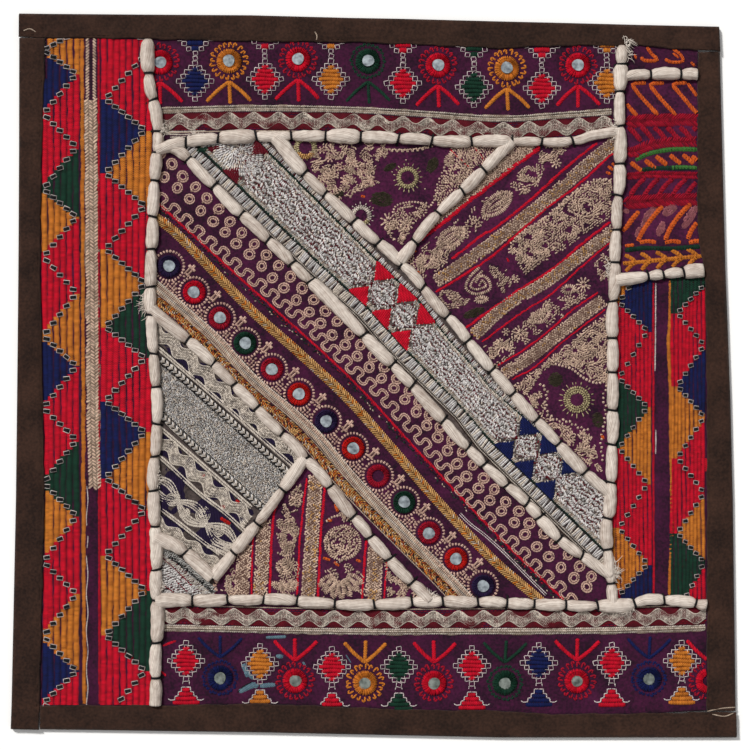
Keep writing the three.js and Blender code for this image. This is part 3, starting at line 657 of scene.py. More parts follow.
def tube(work, points, radius, thread, sides=6, tone=0.6):
    """A round thread along points in space."""
    p = np.asarray(points, float)
    n = len(p)
    ahead = np.gradient(p, axis=0)
    ahead /= np.maximum(np.linalg.norm(ahead, axis=1, keepdims=True), 1e-9)
    aside = np.column_stack([-ahead[:, 1], ahead[:, 0], np.zeros(n)])
    flat = np.linalg.norm(aside, axis=1, keepdims=True)
    aside = np.where(flat > 0.05, aside / np.maximum(flat, 1e-9), [[1, 0, 0]])
    over = np.cross(ahead, aside)
    turn = np.linspace(0, 2 * math.pi, sides, endpoint=False)
    r = np.broadcast_to(radius, n)[:, None, None]
    ring = p[:, None] + r * (aside[:, None] * np.cos(turn)[None, :, None]
                             + over[:, None] * np.sin(turn)[None, :, None])
    i = np.arange(n * sides).reshape(n, sides)
    j = np.roll(i, -1, axis=1)
    quads = np.stack([i[:-1], j[:-1], j[1:], i[1:]], -1).reshape(-1, 4)
    caps = [[i[0, 0], i[0, k + 1], i[0, k], i[0, k]] for k in range(1, sides - 1)]
    caps += [[i[-1, 0], i[-1, k], i[-1, k + 1], i[-1, k + 1]] for k in range(1, sides - 1)]
    faces = np.vstack([quads, np.array(caps)])
    # Painted light: the tone is higher on the upper side of the thread and lower underneath.
    tones = np.broadcast_to(tone, n)[:, None] + 0.25 * np.sin(turn)[None]
    run = np.concatenate([[0], np.cumsum(np.linalg.norm(np.diff(p, axis=0), axis=1))])
    strands = run[:, None] + radius * np.cos(turn)[None] if np.isscalar(radius) else run[:, None] + 0 * turn
    work.add(ring.reshape(-1, 3), faces, np.full(len(faces), work.thread(thread)), tones.ravel(),
             strands.ravel())


# The binding's strips: outer and inner edges from one end to the other, matched point by point,
# and the slanted joins of its cloth, each from its outer to its inner end
TOP_LEFT, TOP_RIGHT, LOW_LEFT, LOW_RIGHT = (-202, 206.5), (197, 199), (-207, -201.5), (207, -206.5)
STRIPS = {
    "binding_top": dict(
        outer=[TOP_LEFT, (-186.5, 206.3), (-133.5, 205.9), (-70.5, 205.5), (-13.5, 204), (15, 203.5),
               (72, 202), (106.5, 201.2), (152, 200), (184.5, 199.3), TOP_RIGHT],
        inner=[(-202.2, 192.7), (-187, 192.5), (-133.5, 192), (-70.5, 190.5), (-13.5, 190), (15, 189),
               (72, 186.5), (106.5, 188), (152, 188), (184.5, 185.3), (197.6, 184.8)],
        joins=[[(156, 199.9), (159, 193), (164, 189)], [(-187, 206), (-188, 198), (-196, 193)]]),
    "binding_right": dict(
        outer=[(197.6, 184.5), (200.2, 83), (200.8, 60), (201.7, 37.5), (203.6, -14), (205, -71),
               (206.6, -191.2)],
        inner=[(184.8, 184.2), (184.7, 83), (188.4, 60), (189.5, 37.5), (190, -14), (190, -71),
               (190, -191)],
        joins=[]),
    "binding_bottom": dict(
        outer=[LOW_RIGHT, (152, -206.5), (98, -206.5), (72, -206.5), (21, -205.4), (-64.5, -203.6),
               (-121.5, -202.8), (-190, -201.8)],
        inner=[(206.7, -191.6), (152, -192.6), (98, -193), (72, -191), (21, -190.5), (-64.5, -187),
               (-121.5, -188), (-190, -188)],
        joins=[[(53.5, -206), (50, -198), (47.5, -192)], [(147, -206.5), (143, -199), (140, -193)],
               [(23, -205.5), (23.5, -191)], [(-83.5, -203), (-84, -188)], [(189.5, -206), (189, -192)]]),
    "binding_left": dict(
        outer=[LOW_LEFT, (-206.5, -188), (-204, -71), (-203, 14), (-202.5, 71.5), (-202.2, 128.5),
               (-202.1, 192.4)],
        inner=[(-190.3, -201.8), (-190.4, -188), (-187.5, -71), (-188.5, -14), (-190, 71.5), (-189, 128.5),
               (-187, 192.2)],
        joins=[[(-206, -188), (-191, -187.5)]]),
}
# Loose thread ends at the corners and at a cord's end, in photograph pixels
LOOSE_ENDS = [[(24, 31), (30, 29), (36, 32)], [(707, 711), (722, 708), (735, 707)],
              [(712, 714), (724, 716), (733, 713)], [(315, 32), (317, 36), (316.5, 40)]]


def binding_strip(name, outer, inner, joins):
    """A strip of cloth folded over the edge: a slot between its leaves holds the patchwork."""
    outer, inner = np.array(outer, float), np.array(inner, float)
    run = np.concatenate([[0], np.cumsum(np.hypot(*np.diff(outer, axis=0).T))])
    n = int(run[-1] / 1.25)
    s = np.linspace(0, run[-1], n)
    spread = [np.column_stack([np.interp(s, run, line[:, k]) for k in (0, 1)]) for line in (outer, inner)]
    out, into = spread
    across = out - into
    width = np.linalg.norm(across, axis=1, keepdims=True)
    side = across / width
    wobble = 0.22 * np.sin(s / 5.1 + 1) + 0.16 * np.sin(s / 2.3) + 0.1 * np.sin(s / 1.1)
    # The section as (share of the width, mm beside it, height, whether creases reach it)
    top = BINDING_TOP
    section = [(0, 0.15, 2.62, 0), (0, 0.0, top - 0.75, 0), (0, 0.25, top - 0.2, 1), (0, 0.8, top, 1),
               (0, 1.5, top - 0.3, 1), (0, 2.2, top - 0.02, 1)]
    section += [(share, 1.0, top, 1) for share in (0.2, 0.3, 0.4, 0.5, 0.6, 0.7, 0.8)]
    section += [(1, -1.4, top - 0.08, 1), (1, -0.6, top - 0.45, 0), (1, -0.15, top - 1.1, 0),
                (1, 0, 2.2, 0), (1, -0.05, 1.2, 0), (1, -0.35, 0.5, 0), (1, -1.1, 0.06, 0),
                (1, -2.4, 0.0, 0), (0, 2.4, 0.0, 0), (0, 0.7, 0.1, 0), (0, 0.7, LEAF - 0.1, 0),
                (0, 1.2, LEAF, 0), (1, -1.4, LEAF, 0), (1, -1.4, 2.62, 0)]
    rings = []
    for share, aside, height, open_top in section:
        shift = aside + (wobble if share == 0 else 0.0)
        xy = into + across * share + side * np.reshape(shift, (-1, 1) if np.ndim(shift) else (1, 1))
        z = np.full(n, float(height))
        if open_top:
            x, y = xy.T
            z += 0.5 * swell(PUCKERS, x * 1.3, y * 1.3) + 0.35 * swell(WRINKLES, x, y)
            for join in joins:
                for a, b in zip(join[:-1], join[1:]):
                    a, b = np.array(a), np.array(b)
                    d = (b - a) / np.linalg.norm(b - a)
                    t = (x - a[0]) * d[0] + (y - a[1]) * d[1]
                    off = (x - a[0]) * d[1] - (y - a[1]) * d[0]
                    on = (t > -1.5) & (t < np.linalg.norm(b - a) + 1.5)
                    z -= on * (0.42 * np.exp(-(off / 0.7) ** 2) - 0.22 * np.exp(-((off - 1.8) / 1.4) ** 2))
            z = np.minimum(z, BINDING_TOP + 0.3)
        rings.append(np.column_stack([xy, z]))
    points = np.stack(rings, 1)
    k = len(section)
    i = np.arange(n * k).reshape(n, k)
    j = np.roll(i, -1, axis=1)
    quads = np.stack([i[:-1], j[:-1], j[1:], i[1:]], -1).reshape(-1, 4)
    caps = []
    upper = [0, 1, 2, 3, 4, 5, 6, 7, 8, 9, 10, 11, 12, 13, 14, 15, 16, 26]
    lower = [26, 16, 17, 18, 19, 20, 21, 22, 23, 24, 25]
    for end, order in ((0, 1), (n - 1, -1)):
        for leaf in (upper, lower):
            for q in range(1, len(leaf) - 1):
                a, b, c = i[end, leaf[0]], i[end, leaf[q]], i[end, leaf[q + 1]]
                caps.append([a, c, b, b] if order == 1 else [a, b, c, c])
    faces = np.vstack([quads, np.array(caps)])
    ob = mesh_piece(name + "_fold", points.reshape(-1, 3), faces[:, ::-1] if signed(points) < 0 else faces)
    ob.data.materials.append(cloth_material("binding cloth"))
    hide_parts(name)
    return out, into


def signed(points):
    """Positive where a section's loop turns so that its faces look out."""
    ring, ahead = points[0], points[1].mean(0) - points[0].mean(0)
    count = len(ring)
    normal = sum(np.cross(ring[i] - ring[0], ring[(i + 1) % count] - ring[0]) for i in range(1, count))
    return -float(normal @ ahead)


def bind_edges():
    """The four folded strips and the machine stitches along their inner edge."""
    seam = Work("binding_stitches")
    for name, spec in STRIPS.items():
        out, into = binding_strip(name, **spec)
        side = (out - into) / np.linalg.norm(out - into, axis=1, keepdims=True)
        line = into + side * 1.5
        track = Track(line)
        at = np.arange(2.0, track.length - 2, 2.9)
        x, y, turn = track.at(at)
        lift = BINDING_TOP - 0.28 - ground(x, y)
        seam.stitches(x, y, turn, 2.3, 0.42, 0.12, "brown", 0.35, lift=lift)
    for places in LOOSE_ENDS:
        path = smooth(px(places), 6)
        lift = BINDING_TOP + 0.25 - ground(*path.T)
        seam.ribbon(path, 0.7, 0.3, "oat", 1.2, 0.2, lift=float(lift.mean()))
    seam.build()


CORD_HALF, CORD_HEIGHT = 3.45, 4.4
CORD_SIDES = 21
# Cord pieces that are fatter or thinner than the rest: the seam, the place on its axis, the factor
FAT = {("a", 182): 1.3, ("a", -135): 1.25, ("j", -115): 1.3, ("j", -100): 1.3, ("l", 183): 1.25,
       ("l", 147): 1.15, ("d", 139): 1.25, ("d", 15): 0.95, ("c", -88): 1.3, ("c", -27): 1.2,
       ("b", 170): 1.3, ("b", 187): 1.1, ("d", -115): 1.2, ("i", -60): 0.85, ("h", 45): 0.9,
       ("f", -20): 1.12, ("a", -30): 0.9, ("e", 8): 0.95, ("b", -95): 1.15, ("c", 80): 0.85,
       ("c", 105): 0.8, ("c", 125): 0.8, ("k", 150): 0.95, ("e", -42): 1.15}
FUZZ = [("a", 141, 0.7), ("a", 40, 1.0), ("b", 187, 1.0), ("b", -112, 1.0), ("b", 140, 0.8), ("g", 31, 0.7),
        ("d", 143, 1.0), ("a", -60, 0.6), ("g", -47, 0.6), ("b", 60, 0.8), ("c", -100, 0.7),
        ("a", -120, 0.5)]


def place_on(track, axis, value):
    """The distance along a track at which it reaches a place on an axis."""
    line = track.x if axis == 0 else track.y
    return float(track.s[np.argmin(np.abs(line - value))])


def end_cut(track):
    """Where a cord starts and stops, so that it meets the next one or the binding."""
    inside = track.s[within(FIELD, track.x, track.y)]
    return float(inside[0]), float(inside[-1])


def couched_cord(name, route, axis, ties):
    """A bundle of soft cotton laid over a seam, tied down with black thread."""
    track = Track(route, curved=True)
    low, high = end_cut(track)
    marks = sorted(place_on(track, axis, t) for t in ties)
    edges = np.array([low] + [m for m in marks if low + 2 < m < high - 2] + [high])
    n = int((high - low) / 1.0)
    s = np.linspace(low, high, n)
    part = np.clip(np.searchsorted(edges, s, side="right") - 1, 0, len(edges) - 2)
    rng = np.random.default_rng(sum(map(ord, name)) + 5)
    count = len(edges) - 1
    wide = rng.uniform(0.9, 1.08, count)
    high_ = rng.uniform(0.9, 1.05, count)
    for (seam, value), factor in FAT.items():
        if seam == name:
            here = np.clip(np.searchsorted(edges, place_on(track, axis, value), side="right") - 1, 0,
                           count - 1)
            wide[here] *= factor
            high_[here] *= min(factor, 1.08)
    twist = rng.uniform(0.03, 0.15, count) * rng.choice([-1, 1], count)
    sway = rng.uniform(-0.5, 0.5, count)
    u = (s - edges[part]) / (edges[part + 1] - edges[part])
    long = edges[part + 1] - edges[part]
    near = np.minimum(u, 1 - u) * long  # mm from the nearest tie
    first, last = part == 0, part == count - 1
    near = np.where(first & (u < 0.5) & (name not in "ab"), 9, near)
    near = np.where(last & (u > 0.5), 9, near)
    lopsided = rng.uniform(-0.13, 0.13, count)
    belly = 1 - 0.36 * np.exp(-(near / 1.8) ** 1.25) - 0.1 * np.exp(-near / 6)
    belly = belly * (1 + lopsided[part] * (2 * u - 1))
    half = CORD_HALF * wide[part] * belly
    height = CORD_HEIGHT * high_[part] * (1 - 0.3 * np.exp(-(near / 1.8) ** 1.3))
    middle = sway[part] * np.sin(math.pi * u) * 1.2
    sides = CORD_SIDES
    phi = np.linspace(0, math.pi, sides)[None]
    # Plies run along the bundle at a slant, each with its own depth
    ply = np.sin(9 * phi + twist[part][:, None] * s[:, None] * 2.2 + 7 * part[:, None])
    ply2 = np.sin(21 * phi - twist[part][:, None] * s[:, None] * 3.1 + 3 * part[:, None]
                  + 0.7 * np.sin(s[:, None] / 3))
    knobs = np.sin(0.9 * s + 4 * part)[:, None] * np.sin(3 * phi + part[:, None])
    rough = 0.022 * ply + 0.02 * ply2 + 0.045 * knobs + rng.normal(0, 0.01, ply.shape)
    aside = np.cos(phi) * half[:, None] * (1 + rough) + middle[:, None]
    up = CORD_FOOT - 0.15 + np.sin(phi) ** 0.6 * height[:, None] * (1 + 0.6 * rough)
    x, y, turn = track.at(s)
    gx = x[:, None] - np.sin(turn)[:, None] * aside
    gy = y[:, None] + np.cos(turn)[:, None] * aside
    i = np.arange(n * sides).reshape(n, sides)
    j = np.roll(i, -1, axis=1)
    quads = np.stack([i[:-1], i[1:], j[1:], j[:-1]], -1).reshape(-1, 4)
    caps = [[i[0, 0], i[0, k], i[0, k + 1], i[0, k + 1]] for k in range(1, sides - 1)]
    caps += [[i[-1, 0], i[-1, k + 1], i[-1, k], i[-1, k]] for k in range(1, sides - 1)]
    faces = np.vstack([quads, np.array(caps)])[:, ::-1]
    tri = faces[:, 0] == faces[:, 1]
    faces[tri] = faces[tri][:, [1, 2, 3, 3]]
    fibres = np.interp(phi * 7 + (0.35 * twist[part] * 9 + 0.05)[:, None] * s[:, None]
                       + 40 * (part[:, None] % 7) + 8, np.arange(700), rng.normal(0, 1, 700))
    # The cotton's tone: lighter on the ply ridges and on top (painted highlight), and darker close to each
    # tie where the cord pinches in (painted shade). The fibre streaks and each piece's own shift are its
    # real colour.
    tone = 0.55 + 0.03 * ply + 0.06 * ply2 + 0.1 * fibres + 0.06 * np.sin(phi)
    tone = tone - 0.32 * np.exp(-near[:, None] / 0.9) + rng.normal(0, 0.06, count)[part][:, None]
    ob = mesh_piece("cord_" + name + "_cotton", np.stack([gx, gy, up], -1).reshape(-1, 3), faces)
    ob.data.materials.append(thread_material("cotton"))
    put_attribute(ob, "tone", tone.ravel())
    put_attribute(ob, "strand", (phi * half[:, None] * 1.6 + 3.2 * twist[part][:, None] * s[:, None]
                                  + 1.1 * np.sin(math.pi * u)[:, None] + 31.0 * part[:, None]).ravel())
    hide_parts("cord_" + name)
    threads = Work("cord_" + name + "_ties")
    for mark in edges[1:-1]:
        tie_thread(threads, track, mark, np.interp(mark, s, half), np.interp(mark, s, height), rng)
    if threads.count:
        threads.build()
    return ob


def tie_thread(work, track, mark, half, height, rng):
    """Black thread over a cord, with its ends sunk in the cloth on both sides."""
    slant = rng.uniform(-0.28, 0.28)
    reach = half + rng.uniform(0.9, 2.4, 2)
    for shift in (0.0, rng.choice([0.55, -0.5])):
        phi = np.linspace(0, math.pi, 11)
        aside = np.cos(phi) * (half + 0.35)
        up = CORD_FOOT - 0.1 + np.sin(phi) ** 0.75 * (height + 0.3)
        aside = np.concatenate([[reach[0]], aside, [-reach[1]]])
        x, y, _ = track.at(mark + slant * aside + shift, aside)
        up = np.concatenate([[CLOTH - 0.1], up, [CLOTH - 0.1]])
        tube(work, np.column_stack([x, y, up]), 0.42, "black", 5, 0.5)


def frayed_ends():
    """Tufts of loose cotton fibres beside the cords."""
    hairs = Work("cotton_fuzz")
    rng = np.random.default_rng(12)
    for name, value, size in FUZZ:
        seam = SEAMS[name]
        track = Track(seam["route"], curved=True)
        s0 = place_on(track, seam["axis"], value)
        side = rng.choice([-1, 1])
        for _ in range(int(46 * size)):
            s = s0 + rng.normal(0, 2.6)
            x, y, turn = track.at(s, side * rng.uniform(1.0, 3.4))
            out = turn + side * math.pi / 2 + rng.normal(0, 0.7)
            t = np.linspace(0, 1, 6)
            reach = rng.uniform(2, 6.5) * size
            bend = out + t * rng.normal(0, 1.4)
            path = np.column_stack([x + np.cumsum(np.cos(bend)) * reach / 6,
                                    y + np.cumsum(np.sin(bend)) * reach / 6, 4.6 + rng.uniform(-0.8, 1.6)
                                    - 1.3 * t * rng.uniform(0.2, 1)])
            tube(hairs, path, 0.24 * (1 - 0.6 * t), "cotton", 3, rng.uniform(0.7, 1.0))
    hairs.build()


MIRROR_RADIUS, MIRROR_SIDES = 3.35, 20


def mirror_disc(name, centre, seed, dull):
    """A small cut disc of silvered glass, not quite round or level."""
    rng = np.random.default_rng(seed)
    sides = MIRROR_SIDES
    turn = np.linspace(0, 2 * math.pi, sides, endpoint=False)
    radius = MIRROR_RADIUS * (1 + 0.035 * np.sin(3 * turn + rng.uniform(0, 6))
                              + 0.03 * np.sin(2 * turn + rng.uniform(0, 6)))
    tilt = rng.normal(0, 0.035, 2)
    x, y = centre[0] + radius * np.cos(turn), centre[1] + radius * np.sin(turn)
    slope = tilt[0] * (x - centre[0]) + tilt[1] * (y - centre[1])
    low = np.column_stack([x, y, np.full(sides, MIRROR_FOOT)])
    high = np.column_stack([x, y, MIRROR_TOP - 0.15 + slope])
    half = np.column_stack([centre[0] + (x - centre[0]) * 0.55, centre[1] + (y - centre[1]) * 0.55,
                            MIRROR_TOP - 0.13 + slope * 0.55])
    points = np.vstack([low, high, half, [[*centre, MIRROR_TOP - 0.12]], [[*centre, MIRROR_FOOT]]])
    i = np.arange(sides)
    j = (i + 1) % sides
    faces = [np.column_stack([i, j, j + sides, i + sides]),
             np.column_stack([i + sides, j + sides, j + 2 * sides, i + 2 * sides]),
             np.column_stack([i + 2 * sides, j + 2 * sides, np.full(sides, 3 * sides),
                              np.full(sides, 3 * sides)]),
             np.column_stack([j, i, np.full(sides, 3 * sides + 1), np.full(sides, 3 * sides + 1)])]
    ob = mesh_piece(name + "_glass", points, np.vstack(faces), False)
    ob.data.materials.append(mirror_material(dull))
    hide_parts(name)
    return ob


# Satin rows and the zigzags of small outlined squares between their colours
ROW, NARROW_ROW = 3.7, 2.22
SATIN_HEIGHT = 0.72
# The left edge of the outer row, in mm: how far up, and how far across
LEFT_EDGE = [(-190, -187.6), (-71, -185.6), (-14, -186.6), (71, -188.2), (128, -187.4)]


def shade_name(colour):
    return {"r": "red", "b": "blue", "g": "green", "o": "gold"}[colour]


# Each zigzag in photograph pixels: its corners from the top down, the ends of the colours on its
# left and on its right, and the x range that it keeps to
ZIGZAGS = {
    "outer left": dict(
        corners=[(84, 32), (39, 50), (77, 74), (39, 114), (77, 147), (39, 189), (77, 217), (39, 257),
                 (77, 293), (39, 336), (77, 366), (39, 408), (77, 440), (39, 483), (77, 516), (39, 562),
                 (77, 594), (39, 636), (77, 671), (39, 703), (60, 720)],
        reach=(43.5, 76.5),
        left=[(50, "o"), (114, "b"), (189, "r"), (257, "o"), (336, "r"), (408, "b"), (483, "r"), (562, "o"),
              (636, "r"), (703, "b"), (800, "r")],
        right=[(74, "o"), (147, "r"), (217, "g"), (293, "r"), (366, "o"), (440, "r"), (516, "g"),
               (594, "r"), (671, "o"), (800, "r")]),
    "inner left": dict(
        corners=[(136, 32), (147, 43), (147, 55), (103, 99), (147, 130), (103, 173), (147, 206), (103, 249),
                 (147, 283), (103, 327), (147, 358), (103, 401), (147, 432), (103, 478), (147, 510),
                 (103, 555), (147, 590), (103, 635), (147, 671), (118, 703), (103, 720)],
        reach=(105.5, 145),
        left=[(99, "r"), (173, "b"), (249, "r"), (327, "o"), (401, "r"), (478, "b"), (555, "r"), (635, "o"),
              (800, "r")],
        right=[(46, "g"), (130, "r"), (206, "o"), (283, "r"), (358, "g"), (432, "r"), (510, "o"),
               (590, "r"), (671, "g"), (800, "r")]),
    "inner right": dict(
        corners=[(632, 283), (617, 302), (650, 331), (617, 378), (650, 407), (617, 448), (650, 484),
                 (617, 528), (650, 564), (617, 595)],
        reach=(619, 647.5),
        left=[(302, "o"), (378, "r"), (448, "g"), (528, "r"), (590, "o"), (800, "r")],
        right=[(331, "b"), (407, "r"), (484, "o"), (564, "r"), (800, "b")]),
    "outer right": dict(
        corners=[(706, 285), (675, 313), (707, 345), (675, 386), (707, 417), (675, 458), (707, 493),
                 (675, 533), (707, 562), (690, 590), (684, 600)],
        reach=(677.5, 704),
        left=[(313, "g"), (386, "r"), (458, "o"), (533, "r"), (800, "g")],
        right=[(345, "r"), (417, "b"), (493, "r"), (562, "o"), (800, "r")]),
}


def little_squares(work, x, y, wide=3.3, tall=2.1, turn=0.0, dark=True, line=0.42):
    """Small open boxes of white thread, filled with black where they part two colours. line is
    the width of the white thread."""
    x, y = np.asarray(x, float), np.asarray(y, float)
    n = len(x)
    turn = np.broadcast_to(turn, n) + RNG.normal(0, 0.1, n)
    grown = RNG.uniform(0.92, 1.08, n)
    lift = 0.85 if dark else 0.0
    if dark:
        work.stitches(x, y, turn, 1.08 * wide * grown, 1.3 * tall, 0.34, "black", 0.3, lift, square=0.49)
    for quarter, (reach, span) in enumerate(((wide, tall), (tall, wide), (wide, tall), (tall, wide))):
        a = turn + quarter * math.pi / 2 + RNG.normal(0, 0.06, n)
        work.stitches(x + np.cos(a) * reach / 2 * grown, y + np.sin(a) * reach / 2 * grown, a + math.pi / 2,
                      1.1 * span, line, 0.42 if dark else 0.72, "white", RNG.uniform(0.5, 0.95, n), lift,
                      square=0.45)


def zigzag_panel(work, which, rows, row_width, right, low, high, box):
    """Long satin rows side by side, whose colours meet along a zigzag of little boxes."""
    spec = ZIGZAGS[which]
    corners = np.array(spec["corners"], float)

    def colours(s, x, y):
        cx, cy = x / PX + ORIGIN_PX[0], ORIGIN_PX[1] - y / PX
        border = np.clip(np.interp(cy, corners[:, 1], corners[:, 0]), *spec["reach"])
        left = np.searchsorted([v for v, _ in spec["left"]], cy)
        other = np.searchsorted([v for v, _ in spec["right"]], cy)
        names = []
        for k in range(len(x)):
            side, place = ("left", left[k]) if cx[k] < border[k] else ("right", other[k])
            names.append(shade_name(spec[side][min(place, len(spec[side]) - 1)][1]))
        return names

    for row in range(rows):
        x0 = right - (row + 0.5) * row_width
        y = np.arange(high, low, -1.0)
        x = x0 + 0.28 * np.sin(y / 23 + row) + 0.1 * np.sin(y / 7 + 2 * row)
        x = np.maximum(x, np.interp(y, *zip(*LEFT_EDGE)))
        # edge=0.32 gives each satin row dark sides: painted shade between the rows.
        work.ribbon(np.column_stack([x, y]), row_width * (1.08 if row_width > 3 else 1.22),
                    SATIN_HEIGHT * RNG.uniform(0.85, 1.15), None, step=0.62, bead=0.25,
                    sides=4 if row_width > 3 else 3, tone=0.72, vary=0.25, threads=colours, edge=0.32)
        # Stray short ends where a row was joined
        at = RNG.uniform(low, high, 9)
        work.stitches(x0 + RNG.uniform(-1.2, 1.2, 9), at, RNG.normal(0, 0.2, 9), RNG.uniform(1.2, 2.6, 9),
                      0.3, 0.75, "maroon", 0.2)
    ends = px(np.column_stack([np.clip(corners[:, 0], *spec["reach"]), corners[:, 1]]))
    for a, b in zip(ends[:-1], ends[1:]):
        count = max(1, int(round(abs(b[0] - a[0]) / box[2])))
        share = (np.arange(count) + 0.5) / count
        places = a + (b - a) * share[:, None]
        lean = 0.22 * np.sign(b[0] - a[0]) * np.sign(b[1] - a[1])
        little_squares(work, places[:, 0], places[:, 1], box[0], box[1], lean, line=0.1 * box[0])


def braid(work, track, width, columns, thread, pitch=2.0, slant=0.9, height=0.75, length=3.2,
          tones=(0.3, 0.95)):
    """Columns of slanted stitches side by side."""
    for column in range(columns):
        aside = (column + 0.5 - columns / 2) * width / columns
        s = np.arange(pitch * 0.5 * (column % 2), track.length, pitch)
        s = s + RNG.normal(0, 0.12, len(s))
        x, y, turn = track.at(s, aside)
        lean = slant if np.isscalar(slant) else slant[column % len(slant)]
        work.stitches(x, y, turn + lean + RNG.normal(0, 0.16, len(s)),
                      length * RNG.uniform(0.85, 1.1, len(s)), pitch * RNG.uniform(0.6, 0.82, len(s)),
                      height, thread, RNG.uniform(*tones, len(s)))


# Lines between the zigzags of the left panel and of the right one, in photograph pixels
LEFT_GOLD = [(81.8, 30), (82.5, 200), (83, 400), (83.5, 560), (84.5, 710)]
LEFT_BRAID_SHADE_BED = [(91, 100), (92.5, 350), (95, 488)]
LEFT_BRAID = [(90.5, 100), (91.5, 220), (92.5, 350), (93, 430), (95, 489)]
LEFT_SPLIT = [(90.7, 36), (90.7, 101)]
LEFT_SPLIT_LINE = [(90.8, 38), (91, 98)]
LEFT_RED = [(98.4, 30), (98.6, 300), (99.5, 710)]
LEFT_LOOSE, LEFT_LOOSE_X = [(486, 530), (536, 552), (556, 640), (620, 712)], 87
LEFT_BLACK = [(85.5, 648), (86, 700)]
RIGHT_RED = [(653.5, 283), (653.5, 440), (654, 600)]
RIGHT_LOOSE, RIGHT_LOOSE_X = [(283, 372), (430, 458)], 656
RIGHT_GOLD = [(670.5, 280), (670, 320), (668.5, 345), (670.5, 385), (671, 440), (672, 520), (669.5, 595)]


def left_panel(work):
    box = (3.5, 2.25, 3.7)
    zigzag_panel(work, "outer left", 6, ROW, -167.6, -190, 194, box)
    zigzag_panel(work, "inner left", 8, ROW, -126.2, -190, 194, box)
    work.ribbon(px(LEFT_GOLD), 2.9, 0.6, "gold", 1.2, 0.3)
    # A dark oat bed under the beige braid: painted shadow that shows brown between its stitches.
    work.ribbon(px(LEFT_BRAID_SHADE_BED), 8.6, 0.25, "oat", 2.0, sides=7, tone=0.2)
    fishbone = Track(px(LEFT_BRAID), curved=True)
    braid(work, fishbone, 7.4, 3, "beige", pitch=1.95, slant=(-0.85, 0.85), length=3.4, tones=(0.5, 1.0),
          height=0.95)
    for shift in (-3.6, 3.6):
        split = Track(px(LEFT_SPLIT))
        x, y, turn = split.at(np.arange(0, split.length, 1.7), shift * 0.55)
        work.stitches(x, y, turn + 0.8 * np.sign(shift), 3.2, 1.3, 0.75, "beige",
                      RNG.uniform(0.3, 0.95, len(x)))
    work.ribbon(px(LEFT_SPLIT_LINE), 0.9, 0.3, "black", 1.5, tone=0.3)
    work.ribbon(px(LEFT_RED), 1.8, 0.5, "red", 1.2, 0.3, tone=0.4)
    for a, b in LEFT_LOOSE:
        loose = px([(LEFT_LOOSE_X + 0.8 * math.sin(y / 6), y) for y in np.arange(a, b, 4)])
        work.ribbon(loose, 0.9, 0.4, "white", 0.9, 0.4)
    work.ribbon(px(LEFT_BLACK), 0.7, 0.25, "black", 1.5, tone=0.3)


def right_panel(work):
    box = (2.7, 2.0, 3.1)
    zigzag_panel(work, "inner right", 10, NARROW_ROW, 158.6, -132, 62, box)
    zigzag_panel(work, "outer right", 10, NARROW_ROW, 191.4, -132, 62, box)
    work.ribbon(px(RIGHT_RED), 1.7, 0.5, "red", 1.2, 0.3, tone=0.5)
    for a, b in RIGHT_LOOSE:
        loose = px([(RIGHT_LOOSE_X - (y - a) * 0.008, y) for y in np.arange(a, b, 4)])
        work.ribbon(loose, 1.1, 0.5, "white", 1.0, 0.4)
    work.ribbon(smooth(px(RIGHT_GOLD)), 2.6, 0.6, "gold", 1.2, 0.3)


# The middle of each mirror, in mm, in the order of the solids
MIRRORS = {
    "mirror_top": [(-121.5, 178.5), (-82.5, 179.5), (-43, 180.5), (-3, 179.5), (37, 177), (76, 175.5),
                   (116.5, 177)],
    "mirror_bottom": [(-87.5, -172.5), (-44.5, -174), (-5, -175.5), (34.5, -175.5), (75, -175.5),
                      (116, -174), (157, -173)],
    "mirror_band": [(-116.5, 62.5), (-102.5, 47.5), (-87.5, 33), (-73, 18.5), (-58, 3.5), (-42.5, -10.5),
                    (-27, -26), (-11.5, -41.5), (17.5, -72), (31.5, -90), (47, -104.5), (62.5, -120)],
}


# Mirror flowers in photograph pixels: the middle and the thread of the collar
TOP_FLOWERS = [(160, 62, "red"), (229, 61, "gold"), (298, 59, "red"), (368, 61, "green"), (438, 65, "red"),
               (507, 68, "gold"), (578, 65, "red")]
LOW_FLOWERS = [(220, 678, "blue"), (295, 681, "red"), (365, 683, "gold"), (434, 683, "red"),
               (505, 683, "green"), (577, 681, "red"), (649, 679, "blue"), (708, 681, "red")]
# Diamonds of short rows in photograph pixels: the middle and the thread
TOP_DIAMONDS = [(195, 81, "blue"), (265, 79, "red"), (331, 79, "gold"), (403, 83, "red"),
                (474, 87, "green"), (542, 88, "red"), (607, 83, "gold")]
LOW_DIAMONDS = [(186, 661, "red"), (260, 664, "gold"), (332, 667, "red"), (399, 667, "green"),
                (472, 666, "red"), (539, 663, "blue"), (612, 663, "red"), (682, 661, "gold")]
TOP_GALLOON = [(150, 110.5), (165, 110), (250, 108), (350, 109.5), (430, 114), (500, 118.5), (560, 115),
               (612, 111.5)]
LOW_GALLOON = [(155, 627.6), (250, 630), (370, 632), (500, 631.5), (600, 631), (706, 628)]


def collar(work, centre, thread, inner, outer, height=1.35, count=46):
    """A ring of satin stitches that stand round a mirror's rim."""
    turn = np.linspace(0, 2 * math.pi, count, endpoint=False) + RNG.normal(0, 0.02, count)
    middle = (inner + outer) / 2
    x, y = centre[0] + middle * np.cos(turn), centre[1] + middle * np.sin(turn)
    lift = CLOTH - ground(x, y)
    work.stitches(x, y, turn, (outer - inner) * 1.12, 2 * math.pi * middle / count * 1.35, height, thread,
                  RNG.uniform(0.35, 0.95, count), lift=lift)
    ring = np.linspace(0, 2 * math.pi, 37)[:-1]
    for radius, width in ((inner + 0.35, 0.9), ((inner + outer) / 2 + 0.5, 0.7)):
        path = np.column_stack([centre[0] + radius * np.cos(ring), centre[1] + radius * np.sin(ring)])
        work.ribbon(path, width, height + 0.12, thread, 0.9, 0.35, closed=True, tone=0.72)


